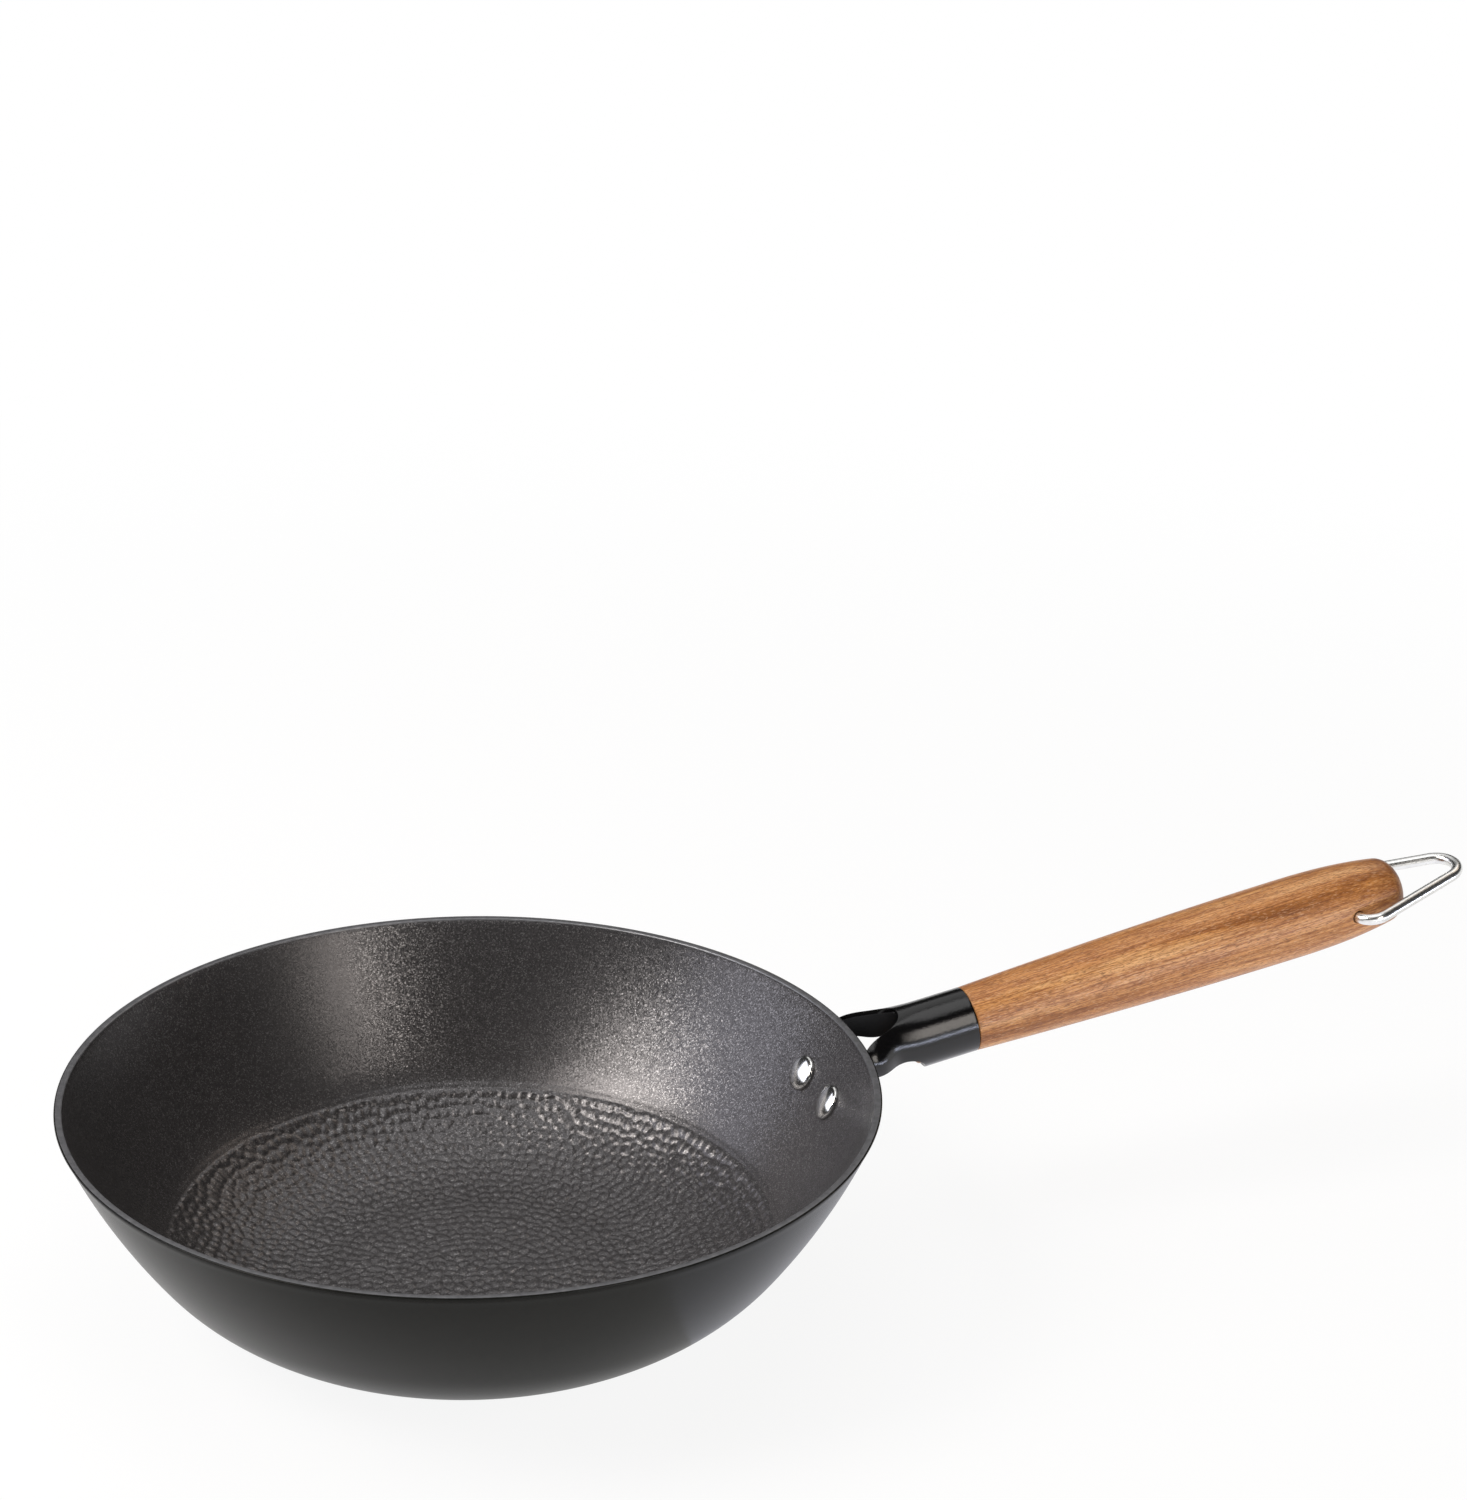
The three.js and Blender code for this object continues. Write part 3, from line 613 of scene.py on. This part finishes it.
def grip_radius(along):
    """Radius of the grip along the handle: slim at the neck, swelling, then drawn in to a rounded end."""
    to_neck = max(0.0, 1 - along / GRIP_SWELL_AT)
    to_end = max(0.0, (along - GRIP_SWELL_AT) / (GRIP_LENGTH - GRIP_SWELL_AT))
    slimmer = (GRIP_SWELL_DIAMETER - GRIP_NECK_DIAMETER) * to_neck ** GRIP_NECK_POWER
    slimmer += (GRIP_SWELL_DIAMETER - GRIP_END_DIAMETER) * to_end ** GRIP_END_POWER
    edge = max(0.0, (along - GRIP_LENGTH + GRIP_END_EDGE) / GRIP_END_EDGE)
    return (GRIP_SWELL_DIAMETER - slimmer) / 2 - GRIP_END_EDGE * (1 - math.sqrt(max(0.0, 1 - edge * edge)))


def grip_profile():
    """Grip from the end of the tenon in the socket, over the shoulder, to the end of the handle."""
    tenon = SOCKET_RADIUS - SHEET_THICKNESS - SEAT_GAP
    profile = [(-TENON_LENGTH, 0), (-TENON_LENGTH, tenon - TENON_CHAMFER)]
    profile += [(TENON_CHAMFER - TENON_LENGTH, tenon), (SEAT_GAP, tenon)]
    shoulder = grip_radius(SEAT_GAP)
    for turn in np.linspace(0, math.pi / 2, GRIP_SHOULDER_STOPS):
        profile.append((SEAT_GAP + GRIP_SHOULDER_EDGE * (1 - math.cos(turn)),
                        shoulder - GRIP_SHOULDER_EDGE * (1 - math.sin(turn))))
    edge_start = GRIP_LENGTH - GRIP_END_EDGE
    for along in np.linspace(SEAT_GAP + GRIP_SHOULDER_EDGE, edge_start, GRIP_STOPS)[1:]:
        profile.append((along, grip_radius(along)))
    for turn in np.linspace(0, math.pi / 2, GRIP_END_STOPS)[1:]:
        along = edge_start + GRIP_END_EDGE * math.sin(turn)
        profile.append((along, grip_radius(along)))
    profile += [(GRIP_LENGTH, grip_radius(GRIP_LENGTH) / 2), (GRIP_LENGTH, 0)]
    return profile


pivot_at = GRIP_LENGTH - LOOP_PIVOT_FROM_END
loop_pin_end = grip_radius(pivot_at) - LOOP_PIN_INSET


def loop_path():
    """Middle line of the wire in its own XY plane: the pivot is the Y axis and the tip points along +X."""
    tip_centre = LOOP_LENGTH - LOOP_TIP_RADIUS
    sharp_tip = tip_centre + LOOP_TIP_RADIUS / math.sin(LOOP_HALF_ANGLE)
    ear_turn = math.pi / 2 + LOOP_HALF_ANGLE
    ear_y = (sharp_tip - LOOP_EAR_RADIUS) * math.tan(LOOP_HALF_ANGLE)
    ear_y -= LOOP_EAR_RADIUS / math.cos(LOOP_HALF_ANGLE)
    path = [(0, y, 0) for y in np.linspace(-loop_pin_end, -ear_y, LOOP_PIN_STOPS)]
    for turn in np.linspace(math.pi, math.pi + ear_turn, LOOP_EAR_STOPS)[1:]:
        path.append((LOOP_EAR_RADIUS * (1 + math.cos(turn)), -ear_y + LOOP_EAR_RADIUS * math.sin(turn), 0))
    bend = [(tip_centre + LOOP_TIP_RADIUS * math.cos(t), LOOP_TIP_RADIUS * math.sin(t), 0)
            for t in np.linspace(ear_turn - math.pi, 0, LOOP_TIP_STOPS)]
    leg_start, leg_end = Vector(path[-1]), Vector(bend[0])
    path += [tuple(leg_start.lerp(leg_end, s)) for s in np.linspace(0, 1, LOOP_LEG_STOPS)[1:-1]]
    half = path + bend
    return half + [(x, -y, z) for x, y, z in half[-2::-1]]


# Materials


def linear(code):
    """Linear colour with alpha from an sRGB hex value."""
    channels = [int(code[k:k + 2], 16) / 255 for k in (1, 3, 5)]
    return (*[c / 12.92 if c <= 0.04045 else ((c + 0.055) / 1.055) ** 2.4 for c in channels], 1.0)


def node(tree, kind, inputs=None, stops=None, **settings):
    """Adds a node with its settings. Inputs are values or feeding sockets, and stops are a ramp's colours."""
    made = tree.nodes.new("ShaderNode" + kind)
    for key, value in settings.items():
        setattr(made, key, value)
    for key, value in (inputs or {}).items():
        if isinstance(value, bpy.types.NodeSocket):
            tree.links.new(value, made.inputs[key])
        else:
            made.inputs[key].default_value = value
    for k, (place, colour) in enumerate(stops or []):
        element = made.color_ramp.elements[k] if k < 2 else made.color_ramp.elements.new(place)
        element.position = place
        element.color = colour
    return made


def start_material(name):
    """A new material, its node tree and its shader."""
    made = bpy.data.materials.new(name)
    made.use_nodes = True
    return made, made.node_tree, made.node_tree.nodes["Principled BSDF"]


def per_metre(millimetres):
    """Texture scale that gives cells of that size in millimetres."""
    return 1 / (millimetres * MM)


# Sprayed non-stick coat with metal flake: dark grey, each flake tilted its own way, so that it glitters in
# broad soft light. Real flakes are too fine to show, so these are drawn several times as large.
FLAKE_SIZE = 0.4
FLAKE_TILT = 0.16
COAT_MOTTLE = 14.0


def flake_coat():
    made, tree, shader = start_material("sprayed_flake_coat_on_iron")
    place = node(tree, "TexCoord").outputs["Object"]
    flake = node(tree, "TexVoronoi", {"Vector": place, "Scale": per_metre(FLAKE_SIZE)}).outputs["Color"]
    grey = node(tree, "SeparateColor", {"Color": flake}).outputs["Red"]
    shade = node(tree, "ValToRGB", {"Fac": grey}, stops=[
        (0.0, linear("#403e3f")), (1.0, linear("#848283")), (0.8, linear("#595758")),
    ]).outputs["Color"]
    tree.links.new(shade, shader.inputs["Base Color"])
    tilt = node(tree, "VectorMath", {0: flake, 1: (0.5, 0.5, 0.5)}, operation="SUBTRACT").outputs["Vector"]
    facing = node(tree, "NewGeometry").outputs["Normal"]
    tilted = node(tree, "VectorMath", {0: tilt, 1: (FLAKE_TILT,) * 3, 2: facing}, operation="MULTIPLY_ADD")
    normal = node(tree, "VectorMath", {0: tilted.outputs["Vector"]}, operation="NORMALIZE")
    tree.links.new(normal.outputs["Vector"], shader.inputs["Normal"])
    mottle = node(tree, "TexNoise", {"Vector": place, "Scale": per_metre(COAT_MOTTLE), "Detail": 3.0})
    rough = node(tree, "MapRange", {"Value": mottle.outputs["Fac"], "To Min": 0.26, "To Max": 0.32})
    tree.links.new(rough.outputs["Result"], shader.inputs["Roughness"])
    shader.inputs["Metallic"].default_value = 0.6
    return made


# Heat-proof satin paint on the outside: even near-black, a slight orange peel, and reflections that show only
# at the edges.
PAINT_PEEL = 1.6
PAINT_PEEL_DEPTH = 0.1


def satin_paint():
    made, tree, shader = start_material("satin_heat_paint_on_iron")
    place = node(tree, "TexCoord").outputs["Object"]
    noise = node(tree, "TexNoise", {"Vector": place, "Scale": per_metre(PAINT_PEEL), "Detail": 2.0})
    peel = noise.outputs["Fac"]
    bump = node(tree, "Bump", {"Height": peel, "Strength": 0.12, "Distance": PAINT_PEEL_DEPTH * MM})
    tree.links.new(bump.outputs["Normal"], shader.inputs["Normal"])
    shade = node(tree, "ValToRGB", {"Fac": peel}, stops=[(0.3, linear("#10100d")), (0.7, linear("#151512"))])
    tree.links.new(shade.outputs["Color"], shader.inputs["Base Color"])
    shader.inputs["Roughness"].default_value = 0.27
    shader.inputs["Specular IOR Level"].default_value = 0.12
    return made


# Ground rim under a thin coat: the metal shows through, lighter than the coat and worn in small patches.
RIM_WEAR = 2.5


def ground_rim():
    made, tree, shader = start_material("ground_iron_rim")
    place = node(tree, "TexCoord").outputs["Object"]
    wear = node(tree, "TexNoise", {"Vector": place, "Scale": per_metre(RIM_WEAR), "Detail": 3.0})
    tones = [(0.3, linear("#6c6c6f")), (0.75, linear("#858588"))]
    shade = node(tree, "ValToRGB", {"Fac": wear.outputs["Fac"]}, stops=tones)
    tree.links.new(shade.outputs["Color"], shader.inputs["Base Color"])
    shader.inputs["Roughness"].default_value = 0.34
    shader.inputs["Metallic"].default_value = 0.7
    return made


# Baked black lacquer on pressed steel: deep black, long clear highlights, a faint ripple from the spray.
LACQUER_RIPPLE = 0.7
LACQUER_RIPPLE_DEPTH = 0.1


def black_lacquer():
    made, tree, shader = start_material("baked_black_lacquer_on_steel")
    place = node(tree, "TexCoord").outputs["Object"]
    noise = node(tree, "TexNoise", {"Vector": place, "Scale": per_metre(LACQUER_RIPPLE), "Detail": 3.0})
    ripple = noise.outputs["Fac"]
    bump = node(tree, "Bump", {"Height": ripple, "Strength": 0.5, "Distance": LACQUER_RIPPLE_DEPTH * MM})
    tree.links.new(bump.outputs["Normal"], shader.inputs["Normal"])
    tones = [(0.3, linear("#060606")), (0.7, linear("#0c0b0c"))]
    shade = node(tree, "ValToRGB", {"Fac": ripple}, stops=tones)
    tree.links.new(shade.outputs["Color"], shader.inputs["Base Color"])
    shader.inputs["Roughness"].default_value = 0.15
    return made


# Inside faces of the fork: painted shade. A dull, near-black coat, darker and less glossy than the lacquer,
# keeps the inner face of the sheet black as if it always lay in shade.
INSIDE_SHADE_GRAIN = 0.9


def painted_shade_inside():
    made, tree, shader = start_material("painted_shade_inside_of_fork")
    place = node(tree, "TexCoord").outputs["Object"]
    grain = node(tree, "TexNoise", {"Vector": place, "Scale": per_metre(INSIDE_SHADE_GRAIN), "Detail": 3.0})
    tones = [(0.3, linear("#040404")), (0.7, linear("#090909"))]
    shade = node(tree, "ValToRGB", {"Fac": grain.outputs["Fac"]}, stops=tones)
    tree.links.new(shade.outputs["Color"], shader.inputs["Base Color"])
    shader.inputs["Roughness"].default_value = 0.6
    shader.inputs["Specular IOR Level"].default_value = 0.15
    return made


# Polished stainless steel: a bright mirror, clear on the pressed rivet heads and softer on the drawn wire.
STEEL_SMEAR = 3.0


def polished_steel(name, low, high):
    made, tree, shader = start_material(name)
    place = node(tree, "TexCoord").outputs["Object"]
    noise = node(tree, "TexNoise", {"Vector": place, "Scale": per_metre(STEEL_SMEAR), "Detail": 4.0})
    smear = noise.outputs["Fac"]
    rough = node(tree, "MapRange", {"Value": smear, "To Min": low, "To Max": high}).outputs["Result"]
    tree.links.new(rough, shader.inputs["Roughness"])
    shade = node(tree, "ValToRGB", {"Fac": smear}, stops=[(0.2, linear("#dcdcda")), (0.8, linear("#eeeeec"))])
    tree.links.new(shade.outputs["Color"], shader.inputs["Base Color"])
    shader.inputs["Metallic"].default_value = 1.0
    return made


# Oiled acacia turned along the grain: warm brown bands, fine fibres, short dark pores and a soft oil sheen.
BAND_LENGTH, BAND_WIDTH = 150.0, 6.5
FIBRE_LENGTH, FIBRE_WIDTH = 18.0, 0.55
PORE_LENGTH, PORE_WIDTH = 2.0, 0.38
END_GRAIN_AND_SHADE_DEPTH = 16.0
WOOD_RELIEF = 0.12


def oiled_wood():
    made, tree, shader = start_material("oiled_acacia")
    place = node(tree, "TexCoord").outputs["Object"]

    def along_grain(length, width):
        scale = (per_metre(length), per_metre(width), per_metre(width))
        return node(tree, "Mapping", {"Vector": place, "Scale": scale}).outputs["Vector"]

    band = node(tree, "TexNoise", {"Vector": along_grain(BAND_LENGTH, BAND_WIDTH), "Scale": 1.0,
                                   "Detail": 4.0, "Roughness": 0.6, "Distortion": 0.6}).outputs["Fac"]
    fibre = node(tree, "TexNoise", {"Vector": along_grain(FIBRE_LENGTH, FIBRE_WIDTH), "Scale": 1.0,
                                    "Detail": 4.0, "Roughness": 0.65}).outputs["Fac"]
    pore = node(tree, "TexNoise", {"Vector": along_grain(PORE_LENGTH, PORE_WIDTH), "Scale": 1.0,
                                   "Detail": 2.0}).outputs["Fac"]
    tone = node(tree, "ValToRGB", {"Fac": band}, stops=[
        (0.34, linear("#965a22")), (0.66, linear("#e0ab70")),
        (0.45, linear("#ba7a3c")), (0.55, linear("#cf9253")),
    ]).outputs["Color"]
    streak = node(tree, "ValToRGB", {"Fac": fibre}, stops=[
        (0.38, linear("#ab8662")), (0.58, linear("#ffffff")),
    ]).outputs["Color"]
    toned = node(tree, "Mix", {"Factor": 0.8, "A": tone, "B": streak}, data_type="RGBA",
                 blend_type="MULTIPLY").outputs["Result"]
    open_pore = node(tree, "MapRange", {"Value": pore, "From Min": 0.54, "From Max": 0.68,
                                        "To Max": 0.8}).outputs["Result"]
    # Short light flecks along the grain: partly lighter wood, partly painted glints of the oil sheen on the
    # pores.
    light_fleck_and_glint = node(tree, "MapRange", {"Value": pore, "From Min": 0.44, "From Max": 0.3,
                                  "To Max": 0.4}).outputs["Result"]
    # Darker over the last 16 mm towards the end: partly the darker end grain, partly painted shade on the
    # rounded end, which turns away from the light.
    along = node(tree, "SeparateXYZ", {"Vector": place}).outputs["X"]
    end_grain_and_shade = node(tree, "MapRange", {"Value": along, "From Min": (GRIP_LENGTH - END_GRAIN_AND_SHADE_DEPTH) * MM,
                                        "From Max": GRIP_LENGTH * MM, "To Max": 0.6}).outputs["Result"]
    colour = toned
    for share, tint in ((open_pore, "#74461f"), (light_fleck_and_glint, "#dcb88f"), (end_grain_and_shade, "#5f341b")):
        mixed = node(tree, "Mix", {"Factor": share, "A": colour, "B": linear(tint)}, data_type="RGBA")
        colour = mixed.outputs["Result"]
    tree.links.new(colour, shader.inputs["Base Color"])
    rough = node(tree, "MapRange", {"Value": fibre, "To Min": 0.46, "To Max": 0.3}).outputs["Result"]
    tree.links.new(rough, shader.inputs["Roughness"])
    sunk = node(tree, "Math", {0: fibre, 1: open_pore}, operation="SUBTRACT").outputs["Value"]
    bump = node(tree, "Bump", {"Height": sunk, "Strength": 0.3, "Distance": WOOD_RELIEF * MM})
    tree.links.new(bump.outputs["Normal"], shader.inputs["Normal"])
    return made


# Studio floor: pale and lit round the pan, where it keeps a faint shadow, and glowing white further off.
SEEN_GLOW = 0.9
MIRRORED_GLOW = 0.58
SHADOW_REACH = 450.0
WHITE_REACH = 1100.0


def studio_floor():
    made, tree, shader = start_material("studio_floor")
    shader.inputs["Base Color"].default_value = linear("#fafafa")
    shader.inputs["Roughness"].default_value = 0.9
    shader.inputs["Specular IOR Level"].default_value = 0.0
    rays = node(tree, "LightPath").outputs
    bounced = {0: rays["Is Glossy Ray"], 1: rays["Is Transmission Ray"]}
    mirrored = node(tree, "Math", bounced, operation="MAXIMUM").outputs["Value"]
    place = node(tree, "TexCoord").outputs["Object"]
    distance = node(tree, "VectorMath", {0: place}, operation="LENGTH").outputs["Value"]
    glow = []
    for rays_in, near in ((rays["Is Camera Ray"], SEEN_GLOW), (mirrored, MIRRORED_GLOW)):
        reach = {"From Min": SHADOW_REACH * MM, "From Max": WHITE_REACH * MM, "To Min": near}
        white = node(tree, "MapRange", {"Value": distance, **reach}, interpolation_type="SMOOTHSTEP")
        seen = node(tree, "Math", {0: rays_in, 1: white.outputs["Result"]}, operation="MULTIPLY")
        glow.append(seen.outputs["Value"])
    share = node(tree, "Math", {0: glow[0], 1: glow[1]}, operation="MAXIMUM").outputs["Value"]
    lit = node(tree, "Emission", {"Color": (1, 1, 1, 1), "Strength": 1.0}).outputs["Emission"]
    mixed = node(tree, "MixShader", {0: share, 1: shader.outputs["BSDF"], 2: lit}).outputs["Shader"]
    tree.links.new(mixed, tree.nodes["Material Output"].inputs["Surface"])
    return made


# Pieces


def finish_piece(piece, body, slot, *nodes):
    """Lets a piece ride on its body and stand for its CAD nodes, which are hidden. The slot is not used."""
    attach(piece, body)
    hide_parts(*nodes)


points, faces, finishes = bowl_mesh()
bowl = add_mesh("coated_bowl", points, faces, [flake_coat(), ground_rim(), satin_paint()], finishes)
finish_piece(bowl, "pan", "bowl_iron", "bowl")

points, faces = bracket_mesh()
# Lacquer outside. Through the solidify's material offset, the inner side of the sheet takes the painted
# shade.
bracket = add_mesh("forked_bracket", points, faces, [black_lacquer(), painted_shade_inside()])
smooth = bracket.modifiers.new("smooth", "SUBSURF")
smooth.levels = smooth.render_levels = 2
sheet = bracket.modifiers.new("sheet", "SOLIDIFY")
sheet.thickness = SHEET_THICKNESS * MM
sheet.offset = 0
sheet.material_offset = 1
rounded = bracket.modifiers.new("rounded", "BEVEL")
rounded.width = SHEET_EDGE * MM
rounded.segments = 3
rounded.limit_method = "ANGLE"
rounded.angle_limit = DRAWN_CRISP
finish_piece(bracket, "pan", "bracket_black", "handle_bracket")

rivet_steel = polished_steel("polished_rivet_steel", 0.12, 0.18)
wire_steel = polished_steel("polished_drawn_wire", 0.22, 0.3)
for name, node_name, side in (("near_rivet", "rivet_near", -1), ("far_rivet", "rivet_far", 1)):
    points, faces = turned(rivet_profile(), RIVET_SEGMENTS)
    rivet = add_mesh(name, points, faces, [rivet_steel], sharp_angle=TURNED_CRISP)
    seat = wall_point(side, 0, 0, 0)
    outward = (wall_point(side, 0, 0, 1) - seat).normalized()
    rivet.matrix_world = Matrix.Translation(seat * MM) @ outward.to_track_quat("X", "Z").to_matrix().to_4x4()
    finish_piece(rivet, "pan", "rivet_polished", node_name)

points, faces = turned(grip_profile(), GRIP_SEGMENTS)
grip = add_mesh("turned_grip", points, faces, [oiled_wood()])
hole_radius = WIRE_RADIUS + WIRE_HOLE_CLEARANCE
hole_start = loop_pin_end - WIRE_HOLE_CLEARANCE
hole_length = GRIP_SWELL_DIAMETER
hole_profile = [(0, 0), (0, hole_radius), (hole_length, hole_radius), (hole_length, 0)]
holes = []
for side in (-1, 1):
    points, faces = turned(hole_profile, HOLE_SEGMENTS)
    hole = add_mesh("hole", points, faces, [])
    hole.matrix_world = (Matrix.Translation((pivot_at * MM, side * hole_start * MM, 0))
                         @ Matrix.Rotation(side * math.pi / 2, 4, "Z"))
    holes.append(hole)
cut(grip, holes)
grip.data.set_sharp_from_angle(angle=TURNED_CRISP)
grip.matrix_world = handle_place
finish_piece(grip, "pan", "grip_wood", "wood_grip")

pin_profile = [(-PIN_CROWN, 0)]
for turn in np.linspace(0, math.pi / 2, PIN_CROWN_STOPS)[1:]:
    pin_profile.append((-PIN_CROWN * math.cos(turn), PIN_RADIUS * math.sin(turn)))
pin_profile += [(PIN_LENGTH, PIN_RADIUS), (PIN_LENGTH, 0)]
points, faces = turned(pin_profile, PIN_SEGMENTS)
pin = add_mesh("grip_pin_crowned", points, faces, [wire_steel], sharp_angle=DRAWN_CRISP)
pin.matrix_world = (handle_place @ Matrix.Translation((-PIN_FROM_JOINT * MM, 0, -SOCKET_RADIUS * MM))
                    @ Matrix.Rotation(-math.pi / 2, 4, "Y"))
finish_piece(pin, "pan", "pin_steel", "grip_pin")

points, faces = swept(loop_path(), WIRE_RADIUS, WIRE_SIDES, WIRE_END_EDGE)
loop = add_mesh("wire_loop", points, faces, [wire_steel], sharp_angle=DRAWN_CRISP)
loop_place = handle_place @ Matrix.Translation((pivot_at * MM, 0, 0))
loop.matrix_world = loop_place @ Matrix.Rotation(-LOOP_TILT, 4, "Y")
finish_piece(loop, "bail", "bail_polished", "hanging_bail")

# Stage, light and camera

FLOOR_HALF = 15000.0
FLOOR_DROP = 0.2
LIT_PLACE = Vector((0.06, 0, 0.04))

corners = [(x * FLOOR_HALF, y * FLOOR_HALF, -FLOOR_DROP) for x, y in ((-1, -1), (1, -1), (1, 1), (-1, 1))]
floor = add_mesh("floor", corners, [(0, 1, 2, 3)], [studio_floor()])


def panel_lamp(name, place, facing, width, height, power, colour):
    """Soft rectangular lamp at a place, shining along facing; the camera sees its light but not the lamp."""
    lamp = bpy.data.lights.new(name, "AREA")
    lamp.shape = "RECTANGLE"
    lamp.size, lamp.size_y = width * MM, height * MM
    lamp.energy = power
    lamp.color = linear(colour)[:3]
    holder = bpy.data.objects.new(name, lamp)
    holder.visible_camera = False
    bpy.context.scene.collection.objects.link(holder)
    holder.matrix_world = Matrix.Translation(place) @ (-facing).to_track_quat("Z", "Y").to_matrix().to_4x4()


def softbox(name, azimuth, elevation, distance, width, height, power, colour):
    """Lamp aimed at the lit place. Azimuths: 0 behind the pan, 90 right, 180 at the camera, 270 left."""
    turn, lift = math.radians(azimuth), math.radians(elevation)
    away = from_camera(math.sin(turn) * math.cos(lift), math.cos(turn) * math.cos(lift), math.sin(lift)) / MM
    panel_lamp(name, LIT_PLACE + away * distance * MM, -away, width, height, power, colour)


softbox("key", 250, 46, 1700, 800, 800, 20.5, "#fffaf4")
softbox("left_panel", 274, 22, 1700, 1500, 900, 9, "#f0f2ff")
softbox("front_right", 139, 29, 1700, 460, 900, 6.3, "#fff8f0")
softbox("overhead", 0, 88, 2400, 1700, 1700, 15, "#ffffff")
softbox("back_high", 0, 50, 2400, 2400, 1300, 8, "#ffffff")
softbox("right_back", 45, 45, 2000, 1000, 700, 2.5, "#ffeedd")
softbox("right_low", 128, 0, 1500, 2200, 76, 9, "#dfe6ff")
softbox("front_low", 168, 9, 1700, 2000, 460, 2, "#ffffff")
panel_lamp("floor_bounce", from_camera(260, 20, 3), Vector((0, 0, 1)), 380, 260, 0.08, "#dfe4ff")

# Studio beyond the floor: white to the eye. Polished metal sees a low white wall with a dim hall above it.
WALL_TOP_STARTS = math.sin(math.radians(3))
WALL_TOP_ENDS = math.sin(math.radians(9))
HALL_LIGHT = 0.03

world = bpy.data.worlds.new("studio")
world.use_nodes = True
hall = world.node_tree
rays = node(hall, "LightPath").outputs
bounced = {0: rays["Is Glossy Ray"], 1: rays["Is Transmission Ray"]}
mirrored = node(hall, "Math", bounced, operation="MAXIMUM").outputs["Value"]
direction = node(hall, "TexCoord").outputs["Generated"]
upward = node(hall, "SeparateXYZ", {"Vector": direction}).outputs["Z"]
wall = node(hall, "MapRange", {"Value": upward, "From Min": WALL_TOP_ENDS, "From Max": WALL_TOP_STARTS})
mirrored_wall = node(hall, "Math", {0: mirrored, 1: wall.outputs["Result"]}, operation="MULTIPLY")
seen = {0: rays["Is Camera Ray"], 1: mirrored_wall.outputs["Value"]}
white = node(hall, "Math", seen, operation="MAXIMUM").outputs["Value"]
strength = node(hall, "MapRange", {"Value": white, "To Min": HALL_LIGHT}).outputs["Result"]
hall.links.new(strength, hall.nodes["Background"].inputs["Strength"])
hall.nodes["Background"].inputs["Color"].default_value = (1, 1, 1, 1)
bpy.context.scene.world = world

lens = bpy.data.cameras.new("camera")
lens.lens = CAMERA_LENS
lens.sensor_width = CAMERA_SENSOR
lens.clip_start, lens.clip_end = CAMERA_NEAR, CAMERA_FAR
camera = bpy.data.objects.new("camera", lens)
bpy.context.scene.collection.objects.link(camera)
camera_place = Matrix.Translation(from_camera(*CAMERA_PLACE)) @ Matrix.Rotation(-HANDLE_TURN, 4, "Z")
camera_place = camera_place @ Matrix.Rotation(math.pi / 2 - CAMERA_PITCH, 4, "X")
camera.matrix_world = camera_place @ Matrix.Rotation(CAMERA_ROLL, 4, "Z")
bpy.context.scene.camera = camera
bpy.context.scene.view_settings.view_transform = "Standard"
